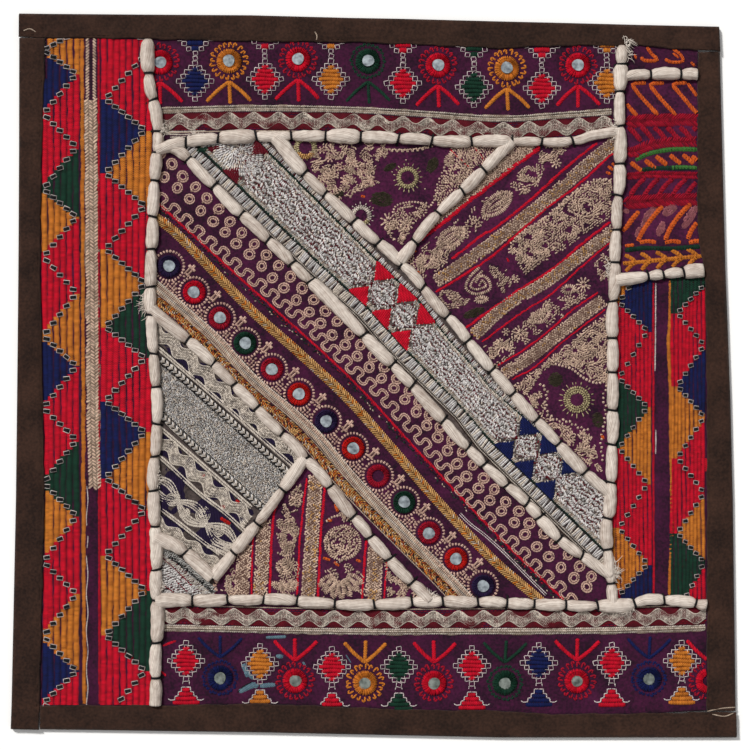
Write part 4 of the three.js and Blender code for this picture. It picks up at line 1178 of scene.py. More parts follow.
def hooks(work, centre, thread, inner, outer, count=20, way=1):
    """A fringe of small curled hooks round a collar."""
    for index in range(count):
        turn = 2 * math.pi * (index + RNG.uniform(-0.12, 0.12)) / count
        reach = outer + RNG.uniform(-0.4, 0.4)
        radii = np.array([inner + 0.9, (inner + 1.4 + reach) / 2, reach, reach - 0.2, reach - 1.1])
        turns = turn + way * np.array([0, 0.01, 0.03, 0.12, 0.17])
        path = np.column_stack([centre[0] + radii * np.cos(turns), centre[1] + radii * np.sin(turns)])
        work.ribbon(smooth(path, 4), 1.35, 0.85, "crimson" if thread == "red" else thread, 0.8, 0.2,
                    tone=0.85)


def mirror_flower(work, place, thread, way):
    """A mirror in its collar with a fringe, and three legs that spread from one point."""
    centre = px([place])[0]
    outer, fringe = (7.3, 10.7) if thread not in ("green", "blue") else (7.5, 9.9)
    inner = 3.3 if way > 0 else 2.95
    collar(work, centre, thread, inner, outer)
    hooks(work, centre, thread, outer - 0.2, fringe, 20 if fringe > 10 else 24,
          1 if RNG.random() > 0.4 else -1)
    foot = centre + np.array([0, -way * 11.6])
    for side, reach in ((-12.3, 23.0), (0.4, 24.2), (12.3, 22.6)):
        end = centre + np.array([side + RNG.uniform(-0.6, 0.6), -way * reach])
        bend = (foot + end) / 2 + np.array([0.03 * side, way * 0.35])
        leg = smooth([foot, bend, end], 6)
        work.ribbon(leg, 2.6 if thread not in ("green", "blue") else 2.2, 0.95, thread, 0.85, 0.45, sides=5,
                    tone=0.76)
        x, y, turn = Track(leg).at(np.arange(1.6, reach - 13, 1.7))
        work.stitches(x, y, turn, 0.9, 0.4, 1.02, "maroon" if thread != "blue" else "navy", 0.3)


def diamond(work, place, thread, way, edge):
    """A diamond of short satin rows with small outlined squares round it, and a half one beyond,
    cut off by the binding."""
    centre = px([place])[0]
    rows = [(-3, 3.8), (-2, 8.6), (-1, 11.2), (0, 14.4), (1, 11.2), (2, 8.6), (3, 3.8)]
    for row, wide in rows:
        y = centre[1] + row * 2.32
        wide = wide * RNG.uniform(0.94, 1.05)
        path = np.column_stack([np.linspace(-wide / 2, wide / 2, 8) + centre[0],
                                y + 0.25 * np.sin(np.linspace(0, 5, 8) + row)])
        work.ribbon(path, 2.75, 1.0, thread, 0.85, 0.3, sides=5, tone=0.66, edge=0.4)
    corners = np.array([(0, -10.3), (-9.2, 0), (0, 10.3), (9.2, 0)])
    squares = []
    for a, b in zip(corners, np.roll(corners, -1, axis=0)):
        squares += [a + (b - a) * t for t in (0, 0.27, 0.5, 0.75)]
    squares = np.array(squares) + centre
    little_squares(work, squares[:, 0], squares[:, 1], 2.8, 2.5, dark=False)
    if way < 0:
        low_half_diamond(work, centre, thread, edge)
        return
    little_squares(work, np.full(2, centre[0]) + RNG.uniform(-0.5, 0.5, 2),
                   centre[1] + way * np.array([13.2, 16.0]), 2.5, 2.2, dark=False)
    # The half diamond widens towards the binding
    for row, wide in ((0, 4.5), (1, 9.0), (2, 13.5), (3, 16)):
        y = centre[1] + way * (18.6 + row * 3.1)
        if abs(y) > edge + 2:
            break
        path = [(centre[0] - wide / 2, y), (centre[0], y + 0.2), (centre[0] + wide / 2, y)]
        work.ribbon(path, 3.3, 0.95, thread, 0.85, 0.3, sides=5, tone=0.62)
    steps = np.array([(3.6, 18.4), (6.2, 21.4), (8.9, 24.2)])
    for side in (-1, 1):
        little_squares(work, centre[0] + side * steps[:, 0], centre[1] + way * steps[:, 1], 2.6, 2.3,
                       dark=False)


def low_half_diamond(work, centre, thread, edge):
    """Two short white legs under the diamond, then steps of satin with a white line round them."""
    for side in (-1, 1):
        legs = centre + np.array([[side * 1.5, -11.3], [side * 1.8, -13.2]])
        work.ribbon(legs + RNG.normal(0, 0.15, legs.shape), 0.7, 0.8, "white", 0.9, 0.3, tone=0.8)
    for row, wide in enumerate((4.2, 7.8, 11.6, 15.2)):
        y = centre[1] - 16.4 - 2.45 * row
        if abs(y) > edge + 2:
            break
        path = [(centre[0] - wide / 2, y), (centre[0], y - 0.2), (centre[0] + wide / 2, y)]
        work.ribbon(path, 2.8, 0.95, thread, 0.85, 0.3, sides=5, tone=0.62)
    steps = np.array([(0.2, 14.9), (2.5, 15.0), (2.7, 17.4), (4.3, 17.7), (4.5, 19.9), (6.2, 20.2),
                      (6.4, 22.2), (8.8, 22.5), (10.3, 21.6)])
    for side in (-1, 1):
        path = np.column_stack([centre[0] + side * steps[:, 0], centre[1] - steps[:, 1]])
        work.ribbon(path, 0.75, 0.85, "white", 0.8, 0.3, tone=0.78)


def wave_braid(work, base, middle, phase=0.6, period=14.25, reach=1.9, wide=5.8):
    """A woven braid that waves from side to side of the line beside the base track."""
    strands = int(round(wide / 0.95)) + 1
    for k, aside in enumerate(np.linspace(-wide / 2 + 0.3, wide / 2 - 0.3, strands)):
        line = Track(base.beside(lambda d: middle + aside
                                 + reach * np.sin(2 * math.pi * d / period + phase), 0.6))
        at = np.arange(0.3, line.length, 0.98)
        x, y, turn = line.at(at)
        rim = k in (0, strands - 1)
        work.stitches(x, y, turn + (0.15 if rim else 0.8 if k % 2 else -0.8), 1.6, 0.95,
                      0.95 if rim else 0.85, "galloon",
                      RNG.uniform(0.6, 1.0, len(at)) if rim else RNG.uniform(0.15, 1.0, len(at)))


def galloon(work, points, way):
    """A straight double braid, and beside it a waved one on maroon cloth."""
    base = Track(px(points), curved=True)
    work.ribbon(base.beside(way * 7.0, 3.0), 11.0, 0.42, "maroon", 2.2, sides=9, tone=0.55, vary=0.1,
                edge=0.1)
    for step, aside in enumerate(np.arange(2.9, 12.6, 1.25)):
        x, y, turn = base.at(np.arange(step % 2, base.length, 2.1), way * aside)
        work.stitches(x, y, turn, 2.0, 0.6, 0.48, "crimson", RNG.uniform(0.1, 0.6, len(x)))
    work.ribbon(base.beside(0.0, 2.0), 4.2, 0.4, "oat", 1.6, sides=5, tone=0.35)
    # A thin brown line between the two cords of the straight braid: painted shade in their groove.
    work.ribbon(base.beside(-0.45 * way, 1.6), 0.5, 0.98, "brown", 1.2, 0.3, tone=0.6)
    s = np.arange(0, base.length, 1.2)
    for aside, lean in ((1.35, 0.6), (0.2, -0.6), (-1.1, 0.6)):
        x, y, turn = base.at(s + RNG.normal(0, 0.1, len(s)), aside * way)
        work.stitches(x, y, turn + lean, 1.8, 1.05, 0.85, "galloon", RNG.uniform(0.35, 0.95, len(s)))
    wave_braid(work, base, way * 7.1, reach=1.75, wide=6.2)
    work.ribbon(base.beside(way * 13.0, 2.0), 0.9, 0.5, "oat", 1.3, 0.3, tone=0.7)
    work.ribbon(base.beside(way * 2.6, 2.0), 0.7, 0.35, "maroon", 1.6, 0.3, tone=0.2)


def flower_strip(work, flowers, diamonds, galloon_line, way):
    """Mirror flowers, the diamonds between them and the braids beside them."""
    for x, y, thread in flowers:
        mirror_flower(work, (x, y), thread, way)
    for x, y, thread in diamonds:
        diamond(work, (x, y), thread, way, STRIP_EDGE)
    galloon(work, galloon_line, -way)


# Frayed silver threads of the top strip, between the braid and the cord on the left
FRAYS = [[(163, 131.5), (180, 131.5), (206, 131)], [(164, 134), (182, 134.5), (200, 133.5)],
         [(170, 137), (180, 137), (190, 136)]]
# Stray stitches on the left of the bottom strip: pale blue ones with their widths, a black and two red
BLUE_STRAYS = [
    ((239, 692), (256, 684), 3.6), ((243, 664), (248, 677), 3.4), ((247, 672), (253, 679), 2.6),
    ((260, 686), (275, 685), 3.6), ((266, 637.5), (286, 637), 2.0), ((276, 656), (283, 657), 2.8),
    ((255, 688), (258, 684), 2.4), ((303, 662), (306, 667), 1.6), ((346, 655), (351, 663), 0.9)]
BLACK_STRAY = [(237, 693), (243, 686.5), (252, 682)]
RED_STRAYS = [[(163, 646), (176, 641)], [(158, 669), (166, 676)]]
STRIP_EDGE = 190  # millimetres from the middle of the mat to where the strips end


def top_strip(work):
    flower_strip(work, TOP_FLOWERS, TOP_DIAMONDS, TOP_GALLOON, 1)
    for points in FRAYS:
        work.ribbon(smooth(px(points), 6), 1.1, 0.6, "galloon", 0.9, 0.4, tone=0.6)


def bottom_strip(work):
    flower_strip(work, LOW_FLOWERS, LOW_DIAMONDS, LOW_GALLOON, -1)
    for a, b, width in BLUE_STRAYS:
        work.ribbon(px([a, b]), width, 0.5, "teal", 0.9, 0.3, sides=5, tone=0.45)
    work.ribbon(px(BLACK_STRAY), 0.8, 0.6, "black", 0.9, 0.3, tone=0.5)
    for points in RED_STRAYS:
        work.ribbon(px(points), 1.8, 0.7, "red", 0.9, 0.4)


def chain(work, points, width, thread, height=0.85, tone=0.68, curved=True):
    """A bar of chain stitch, with the small dark holes of its links."""
    line = px(points)
    line = smooth(line, 6) if curved and len(line) > 2 else line
    # edge=0.45 darkens the bar's sides: painted shade along its outline.
    work.ribbon(line, width, height, thread, 0.95, 0.45, sides=5 if width > 1.9 else 3, tone=tone,
                edge=0.45)
    if width > 1.9:
        track = Track(line)
        x, y, turn = track.at(np.arange(0.9, track.length - 0.5, 1.7))
        work.stitches(x, y, turn, 1.0, 0.6, height + 0.16, "maroon", 0.2)


def herring(work, points, width, thread, pitch=1.5, lean=0.75, height=0.7):
    """Two columns of stitches that slant to the middle line."""
    track = Track(px(points), curved=True)
    work.ribbon(track.beside(0.0, 1.6), 0.5 * width, 0.5 * height, thread, 1.4, 0.3, sides=4, tone=0.3)
    for side in (-1, 1):
        s = np.arange(0.0, track.length, pitch)
        x, y, turn = track.at(s + RNG.normal(0, 0.1, len(s)), side * width / 4)
        work.stitches(x, y, turn + side * lean, width * 0.74, pitch * 0.85, height, thread,
                      RNG.uniform(0.3, 0.9, len(s)))


def sew(work, figures):
    """Draw figures in order. A row holds a figure's function, its points and sizes, and in a dict
    at the end the sizes that go by name."""
    for figure, *sizes in figures:
        named = sizes.pop() if sizes and isinstance(sizes[-1], dict) else {}
        figure(work, *sizes, **named)


def chains(work, starts, figures, width, thread, height=0.85):
    """The same figures of chain stitch at each start: a figure's points are steps from the start."""
    for x, y in starts:
        for steps in figures:
            chain(work, [(x + right, y + down) for right, down in steps], width, thread, height)


def edge_patch(work):
    sew(work, EDGE_FIGURES)


def leaf_patch(work):
    sew(work, LEAF_FIGURES)


def worn_spot(work, place, wide, tall, turn, thread):
    """A spot of matted, worn threads that lie close along one direction."""
    x0, y0 = px([place])[0]
    n = int(12 + wide * tall * 0.9)
    r, a = np.sqrt(RNG.uniform(0, 1, n)), RNG.uniform(0, 2 * math.pi, n)
    u, v = r * np.cos(a) * wide * PX / 2, r * np.sin(a) * tall * PX / 2
    x = x0 + u * math.cos(turn) - v * math.sin(turn)
    y = y0 + u * math.sin(turn) + v * math.cos(turn)
    work.stitches(x, y, turn + RNG.normal(0, 0.25, n), RNG.uniform(1.6, 2.8, n), 0.95, 0.25, thread,
                  RNG.uniform(0.3, 0.95, n))


def slope(spec, x, y):
    """The gradient of a wavy surface."""
    turns, phases, sizes = spec
    waves_at = [s * np.cos(k[0] * x + k[1] * y + p) for k, p, s in zip(turns.T, phases, sizes)]
    return (sum(w * k[0] for w, k in zip(waves_at, turns.T)),
            sum(w * k[1] for w, k in zip(waves_at, turns.T)))


def grid_in(polygon, turn, along, across):
    """A jittered grid of places inside a polygon, with its rows at one angle."""
    low, high = polygon.min(0), polygon.max(0)
    reach = float(np.hypot(*(high - low))) / 2 + along
    middle = (low + high) / 2
    u, v = [g.ravel() for g in np.meshgrid(np.arange(-reach, reach, along),
                                           np.arange(-reach, reach, across))]
    u = u + along / 2 * (np.round(v / across) % 2) + RNG.normal(0, 0.16 * along, u.shape)
    v = v + RNG.normal(0, 0.14 * across, v.shape)
    x = middle[0] + u * math.cos(turn) - v * math.sin(turn)
    y = middle[1] + u * math.sin(turn) + v * math.cos(turn)
    ok = within(polygon, x, y)
    return x[ok], y[ok]


HOLES = waves(18, 11, 5, 0.42, 17)
CURLS = waves(16, 15, 7, 1.0, 23)


def fill(work, corners, turn, thread, along=1.75, across=1.05, jitter=0.35, level=9.0):
    """Rows of short stitches over a patch of cloth, left out where the cloth shows between them."""
    x, y = grid_in(px(corners), turn, along, across)
    ok = swell(HOLES, x, y) < level
    x, y = x[ok], y[ok]
    work.stitches(x, y, turn + RNG.normal(0, jitter, len(x)), 2.0, 0.95, 0.7, thread,
                  RNG.uniform(0.25, 0.95, len(x)))


def crowd(work, corners, turn, bend=0.8, level=1.1):
    """Crowded short stitches in rows that swing from side to side, with small dark openings."""
    x, y = grid_in(px(corners), turn, 1.65, 1.25)
    ok = swell(HOLES, x, y) < level
    x, y = x[ok], y[ok]
    n = len(x)
    lean = bend * np.sin(swell(CURLS, x, y)) + RNG.normal(0, 0.2, n)
    work.stitches(x, y, turn + lean, RNG.uniform(1.5, 2.3, n), 0.92, RNG.uniform(0.6, 0.95, n), "beige",
                  RNG.uniform(0.4, 1.0, n))


def curls(work, corners, thread="beige", spacing=1.75, level=0.62, turn=0.0, pitch=1.35, pull=0.0):
    """Couched lines that wind round one another with dark cloth in between."""
    x, y = grid_in(px(corners), turn, pitch, 0.85)
    steep = math.cos(turn + math.pi / 2), math.sin(turn + math.pi / 2)
    value = swell(CURLS, x, y) + pull * (x * steep[0] + y * steep[1])
    gx, gy = slope(CURLS, x, y)
    gx, gy = gx + pull * steep[0], gy + pull * steep[1]
    size = np.maximum(np.hypot(gx, gy), 1e-6)
    gap = spacing * (1.1 + 0.4 * pull)
    nearest = np.round(value / gap) * gap
    shift = (nearest - value) / size
    ok = (np.abs(shift) < 0.75) & (swell(HOLES, x, y) < level)
    x, y = x + shift * gx / size, y + shift * gy / size
    turns = np.arctan2(gx, -gy) + RNG.normal(0, 0.32, len(x))
    x, y, turns = x[ok], y[ok], turns[ok]
    work.stitches(x, y, turns, RNG.uniform(1.4, 2.2, len(x)), 0.88, 0.8, thread,
                  RNG.uniform(0.35, 1.0, len(x)))


def sawtooth(work, path, length, pitch, thread="beige", tones=(0.35, 0.95), closed=True):
    """Stitches side by side across a line, as round a leaf or a petal."""
    points = np.vstack([path, path[:1]]) if closed else np.asarray(path)
    track = Track(points)
    s = np.arange(0, track.length, pitch)
    x, y, turn = track.at(s)
    work.stitches(x, y, turn + math.pi / 2 + RNG.normal(0, 0.16, len(s)), length, pitch * 0.92, 0.75,
                  thread, RNG.uniform(*tones, len(s)))


def leaf_path(centre, long, wide, turn):
    """The outline of a leaf."""
    t = np.linspace(0, 2 * math.pi, 40, endpoint=False)
    u, v = long / 2 * np.cos(t), wide / 2 * np.sin(t) * (1 - 0.35 * np.abs(np.cos(t)) ** 2)
    return np.column_stack([centre[0] + u * math.cos(turn) - v * math.sin(turn),
                            centre[1] + u * math.sin(turn) + v * math.cos(turn)])


def leaf(work, place, long, wide, turn, thread="beige", inner=True):
    """A leaf outlined by stitches across its edge, with a short vein."""
    centre = px([place])[0]
    long, wide = long * PX, wide * PX
    sawtooth(work, leaf_path(centre, long, wide, turn), 2.9, 1.0, thread)
    if inner and wide > 6:
        sawtooth(work, leaf_path(centre, long - 5.8, wide - 4.6, turn), 1.7, 1.05, thread, tones=(0.3, 0.8))
        sawtooth(work, leaf_path(centre, long - 9.5, 0.8, turn), 1.6, 1.2, thread, tones=(0.3, 0.9))


def spray(work, place, reach, petals, thread="beige", start=0.0, sweep=2 * math.pi):
    """A small flower of petals that spread from one point."""
    cx, cy = px([place])[0]
    turn = start + np.arange(petals) * sweep / petals + RNG.normal(0, 0.08, petals)
    reach = reach * PX
    for part, wide in ((0.38, 0.8), (0.82, 1.0)):
        work.stitches(cx + reach * part * np.cos(turn), cy + reach * part * np.sin(turn), turn,
                      reach * 0.52, 1.15 * wide, 0.8, thread, RNG.uniform(0.5, 0.95, petals))


def beads(work, points, pitch, size, thread="cream", wave=0.0):
    """A row of small knots."""
    track = Track(px(points), curved=True)
    s = np.arange(0, track.length, pitch)
    x, y, turn = track.at(s, wave * np.where(np.arange(len(s)) % 2, 1, -1))
    work.stitches(x, y, turn + math.pi / 2 + RNG.normal(0, 0.35, len(s)), size * 1.25, size * 0.95, 0.75,
                  thread, RNG.uniform(0.55, 1.0, len(s)))


def double_cord(work, path, thread, width=1.9, height=0.75, step=0.8, closed=False, tone=0.72, bead=0.35):
    """Two cords couched side by side with a dark groove between them."""
    p = np.asarray(path, float)
    if closed:
        p = np.vstack([p, p[:1]])
    track = Track(p)
    for side in (-1, 1):
        work.ribbon(track.beside(side * width / 4, 0.55), width * 0.52, height, thread, step, bead,
                    tone=tone)


def lattice(work, points, width, thread="beige", fleck="ochre", flecks=0.34, pitch=1.5, gaps=0.04,
            sharp=0.8):
    """A woven looking braid: columns of crossed stitches with flecks of another thread."""
    track = Track(px(points), curved=True)
    # A dark beige bed under the stitches: painted shade in the gaps between them.
    work.ribbon(track.beside(0.0, 2.0), width, 0.3, "beige", 1.8, sides=5, tone=0.02, vary=0.02)
    columns = max(2, int(round(width / 1.2)))
    for k in range(columns):
        aside = (k + 0.5 - columns / 2) * width / columns
        s = np.arange(pitch / 2 * (k % 2), track.length, pitch)
        x, y, turn = track.at(s + RNG.normal(0, 0.14, len(s)), aside + RNG.normal(0, 0.1, len(s)))
        flip = np.where((np.arange(len(s)) + k) % 2, sharp, -sharp) + RNG.normal(0, 0.22, len(s))
        inner = abs(k + 0.5 - columns / 2) < columns * 0.3
        kinds = np.where(RNG.random(len(s)) < (flecks if inner else flecks * 0.2), fleck, thread)
        ok = RNG.random(len(s)) > gaps
        work.stitches(x[ok], y[ok], (turn + flip)[ok], 2.1, 1.1, 0.7, list(kinds[ok]),
                      RNG.uniform(0.4, 1.0, int(ok.sum())))


def thread_line(work, points, width, thread, height=0.6, bead=0.3, step=1.0, tone=0.65, curved=True,
                rough=0.0):
    """A couched line, now and then a little off its course."""
    track = Track(px(points), curved=curved)
    path = track.beside(0.0, 1.4)
    if rough:
        path = path + RNG.normal(0, rough, path.shape)
    work.ribbon(path, width, height, thread, step, bead, tone=tone)


# The mirror band in photograph pixels: rows of rings, a squiggle, a red line, braids and mirrors
RINGS_FAR = [(147, 142), (173, 166), (274.7, 263.1), (322.6, 307.7), (368.3, 351.6), (410, 392), (440, 427),
             (471.5, 462.6), (495.6, 491), (521.5, 513.4), (548.2, 537.5), (583.5, 569.4), (600, 582)]
RINGS_NEAR = [(140, 153), (167, 178), (266.7, 271.5), (325.8, 327.7), (361.2, 360), (398, 392.7),
              (433.4, 432.6), (463.8, 473), (489.6, 500.5), (515.4, 523.7), (539.5, 548.7), (563.7, 569.4),
              (596, 594)]
SQUIGGLE = [(134, 176), (161, 200), (240, 270), (298.6, 318.6), (334.5, 353.7), (371.2, 387.2),
            (405.5, 423.8), (438.2, 462.1), (463.7, 494), (520, 552), (560, 590), (575, 606)]
RING_PITCH = 16.4
MIRROR_TURN = math.radians(46)  # across the line of mirrors
RED_LINE = [(150, 196), (159, 204), (250, 287), (346, 374), (419, 452), (500, 538), (564, 600)]
LOOSE_LINE = [(460, 514), (470, 524), (484.4, 535), (500, 549), (510.3, 559), (524, 573), (546, 595)]
GOLD_BRAID = [(148, 210), (155, 217), (181, 238), (250, 309), (298, 352), (346, 397), (389, 445),
              (433, 496), (489, 556), (535, 596), (546, 606)]
MIRROR_PLACES = [(169, 266, "navy"), (194, 292, "red"), (220, 318, "crimson"), (245, 343, "green"),
                 (272, 369, "crimson"), (299, 394, "scarlet"), (326, 421, "navy"), (353, 448, "scarlet"),
                 (378, 476, "crimson"), (404, 502, "green"), (429, 533, "crimson"), (456, 559, "scarlet"),
                 (483, 586, "navy")]
BEIGE_BAND = [(146, 278), (159, 289), (212, 335), (250, 376), (314, 433), (362, 489), (420, 549),
              (462, 592), (476, 606)]
RUST_BRAID = [(146, 291), (157, 301), (187, 325), (248, 389), (298, 433), (352, 494), (409, 551),
              (441, 583), (462, 606)]


def mirror_band(work):
    for points, first in ((RINGS_FAR, 0.0), (RINGS_NEAR, 0.1)):
        track = Track(px(points), curved=True)
        links = []
        for d in np.arange(first * RING_PITCH * PX, track.length, RING_PITCH * PX):
            x, y, _ = track.at(np.array([d + RNG.normal(0, 0.3)]), RNG.normal(0, 0.3))
            size = RNG.uniform(0.92, 1.06)
            ring = leaf_ring(x[0], y[0], 2.35 * size)
            double_cord(work, ring, "cream", 2.35, 0.9, 0.72, closed=True, tone=0.9, bead=0.5)
            links.append((x[0], y[0]))
        if not first:
            # Crossed stitches join each far ring to the near one
            for x, y in links:
                spot = np.array([x, y]) - 3.1 * np.array([math.cos(MIRROR_TURN), math.sin(MIRROR_TURN)])
                for lean in (-0.45, 0.45):
                    work.stitches(spot[:1], spot[1], MIRROR_TURN + lean, 2.1, 0.7, 0.85, "cream", 0.85)
    track = Track(px(SQUIGGLE), curved=True)
    pitch = RING_PITCH * PX
    s = np.arange(0, track.length, 0.35)
    phase = 2 * math.pi * s / pitch + 0.4
    x, y, turn = track.at(s - 1.3 * np.sin(2 * phase), 0.8 + 2.9 * np.sin(phase) + 0.25 * np.sin(0.21 * s))
    double_cord(work, np.column_stack([x, y]), "cream", 2.1, 0.9, 0.72, tone=0.88, bead=0.5)
    thread_line(work, RED_LINE, 1.7, "red", 0.7, 0.35, 0.9, rough=0.1)
    line = Track(px(RED_LINE), curved=True)
    for thread, aside, part, size in (("black", -1.9, 0.7, 1.9), ("green", -2.5, 0.45, 2.0),
                                      ("oat", -2.9, 0.2, 1.5), ("crimson", -1.2, 0.45, 1.7)):
        s = np.arange(0, line.length, 1.7)
        s = s[RNG.random(len(s)) < part]
        x, y, turn = line.at(s, aside + RNG.normal(0, 0.5, len(s)))
        work.stitches(x, y, turn + RNG.normal(0, 0.5, len(s)), size, 0.85, 0.6, thread,
                      RNG.uniform(0.3, 0.9, len(s)))
    loose = smooth(px(LOOSE_LINE), 6)
    for shift in (-0.35, 0.45):
        work.ribbon(loose + shift, 0.62, 0.6, "white", 0.9, 0.3, tone=0.85)
    braid_track = Track(px(GOLD_BRAID), curved=True)
    for side in (-1, 1):
        for ring, (aside, size) in enumerate(((0.95, 3.3), (2.2, 1.8))):
            s = np.arange(0.4 * ring, braid_track.length, 1.3)
            x, y, turn = braid_track.at(s, side * aside)
            kinds = RNG.choice(["ochre", "oat", "gold"], len(s), p=[0.8, 0.06, 0.14])
            work.stitches(x, y, turn - side * 0.85, size, 1.0, 0.95 - 0.1 * ring, list(kinds),
                          RNG.uniform(0.4, 1.0, len(s)))
    for side in (-1, 1):
        path = braid_track.beside(side * 2.45, 1.2)
        work.ribbon(path, 0.55, 0.3, "maroon", 1.4, 0.2, tone=0.3)
    # Mirrors: a collar and a ring of knots, and in each gap a clover and more knots
    for index, (mx, my, thread) in enumerate(MIRROR_PLACES):
        centre = px([(mx, my)])[0]
        collar(work, centre, thread, 3.45, 6.75, 1.35, 44)
        count = 29
        around = np.linspace(0, 2 * math.pi, count, endpoint=False) + RNG.uniform(0, 0.2)
        work.stitches(centre[0] + 8.45 * np.cos(around), centre[1] + 8.45 * np.sin(around),
                      around + RNG.normal(0, 0.3, count), 2.0, 1.35, 0.8, "cream",
                      RNG.uniform(0.55, 1.0, count))
        if index + 1 < len(MIRROR_PLACES):
            gap = px([((mx + MIRROR_PLACES[index + 1][0]) / 2, (my + MIRROR_PLACES[index + 1][1]) / 2)])[0]
            ahead = np.array([math.cos(MIRROR_TURN), math.sin(MIRROR_TURN)])
            clover(work, gap + 4.4 * ahead, gap + 8.6 * ahead)
            next_one = px([MIRROR_PLACES[index + 1][:2]])[0]
            fan(work, gap, ahead, (centre, next_one))
    band = Track(px(BEIGE_BAND), curved=True)
    for k, aside in enumerate(np.linspace(-2.6, 2.6, 8)):
        path = band.beside(lambda s: aside + 0.25 * np.sin(0.11 * s + k), 1.6)
        work.ribbon(path, 0.85, 0.75 + 0.1 * (k % 2), ("oat", "beige", "oat", "galloon")[k % 4], 1.8, 0.12,
                    tone=RNG.uniform(0.5, 0.85), vary=0.2)
    for aside, low in ((3.2, 60), (-3.2, 90)):
        work.ribbon(band.beside(aside, 1.5, low), 0.5, 0.5, "black", 1.8, 0.15, tone=0.4)
    rust = Track(px(RUST_BRAID), curved=True)
    kinds = np.array(["rust", "ochre", "gold", "brown", "rust", "oat"])
    for aside in (-2.1, -1.05, 0, 1.05, 2.1):
        s = np.arange(RNG.uniform(0, 1), rust.length, 1.15)
        x, y, turn = rust.at(s, aside + RNG.normal(0, 0.15, len(s)))
        lean = np.where(aside > 0, 0.75, -0.75) + RNG.normal(0, 0.35, len(s))
        work.stitches(x, y, turn + lean, 1.9, 0.85, 0.7,
                      list(RNG.choice(kinds, len(s), p=[.14, .46, .14, .08, .06, .12])),
                      RNG.uniform(0.35, 0.95, len(s)))
    for aside in (3.3, -3.2):
        work.ribbon(rust.beside(aside, 1.5), 0.8, 0.6, "oat", 1.6, 0.15, tone=0.6)


def leaf_ring(x, y, radius):
    """A ring that is a little out of round, like couching done by eye."""
    t = np.linspace(0, 2 * math.pi, 22, endpoint=False)
    r = radius * (1 + 0.06 * np.sin(2 * t + RNG.uniform(0, 6)))
    return np.column_stack([x + r * np.cos(t), y + r * np.sin(t)])


def clover(work, foot, tip):
    """Three small loops on a stalk."""
    ahead = (tip - foot) / np.hypot(*(tip - foot))
    aside = np.array([-ahead[1], ahead[0]])
    lean = math.atan2(ahead[1], ahead[0])
    spots = [(tip + ahead * 1.3, ahead), (tip + aside * 1.5, aside), (tip - aside * 1.5, -aside),
             (tip, ahead)]
    for spot, way in spots:
        work.stitches(spot[:1], spot[1], math.atan2(way[1], way[0]), 2.3, 1.75, 1.0, "cream",
                      RNG.uniform(0.7, 1.0, 1), square=0.36)
    for t in np.linspace(-0.1, 0.85, 5):
        spot = foot + (tip - foot) * t
        for side in (-1, 1):
            place = spot + side * 0.9 * aside
            work.stitches(place[:1], place[1], lean + side * 0.5, 1.8, 1.1, 0.85, "cream",
                          RNG.uniform(0.5, 0.95, 1), square=0.36)


def fan(work, gap, ahead, mirrors):
    """Knots that fill the notch between two rings of knots, row by row, on both sides."""
    aside = np.array([-ahead[1], ahead[0]])
    for side in (-1, 1):
        for row in range(5 if side < 0 else 2):
            out = side * (2.2 + 1.75 * row)
            for across in np.arange(-(row + 1), row + 1.1, 1.0) * 1.7:
                spot = gap + ahead * out + aside * across + RNG.normal(0, 0.15, 2)
                if min(np.hypot(*(spot - m)) for m in mirrors) < 9.4 or abs(across) > 7:
                    continue
                work.stitches(spot[:1], spot[1], RNG.uniform(0, 3.1), 1.9, 1.25, 0.8, "cream",
                              RNG.uniform(0.45, 0.95, 1))


# The silver band. Distances along it are x + y and across it x - y, both in photograph pixels.
SILVER_LOW = [(320, 52), (406, 54), (587, 57.4), (673, 61.5), (761, 57.4), (875, 55.5), (927, 51),
              (1145, 55), (1240, 55)]
SILVER_HIGH = [(320, 115), (395, 115), (640, 115), (718, 117), (757, 112), (790, 108.5), (838, 105.5),
               (878, 102), (1095, 112), (1240, 114)]
# Where the band's filling starts and stops, and where its edges and its first green line do
BAND_ENDS, EDGE_ENDS, START_LINE = (330, 1225), (326, 1228), (400, 415)
# Necks of the figure: the place along the band and the thread of its triangles
NECKS = [(407, "maroon"), (655, "red"), (700, "red"), (741, "red"), (955, "blue"), (994, "blue"),
         (1036, "blue")]


def silver_place(along, share):
    """A place in the band in mm: along as x + y in pixels, share from -1 at cord f's side to 1."""
    along = np.asarray(along, float)
    low = np.interp(along, *zip(*SILVER_LOW))
    high = np.interp(along, *zip(*SILVER_HIGH))
    across = (low + high) / 2 + share * (high - low) / 2
    return px(np.column_stack(np.broadcast_arrays((along + across) / 2, (along - across) / 2)))


def silver_chips(work, path, pitch, length, lean, tones, thread, width):
    """Chips of thread along a path, each at its own slant."""
    track = Track(path)
    if track.length < 2:
        return
    s = np.arange(0, track.length, pitch)
    x, y, turn = track.at(s + RNG.normal(0, 0.25, len(s)), RNG.normal(0, 0.3, len(s)))
    work.stitches(x, y, turn + lean + RNG.normal(0, 0.5, len(s)), length, width, 0.85, thread,
                  RNG.uniform(*tones, len(s)))


HALF_FIELD = 12.3  # millimetres from the middle of the silver field to its edge
CELL = 9.6         # millimetres from one small diamond to the next along its middle


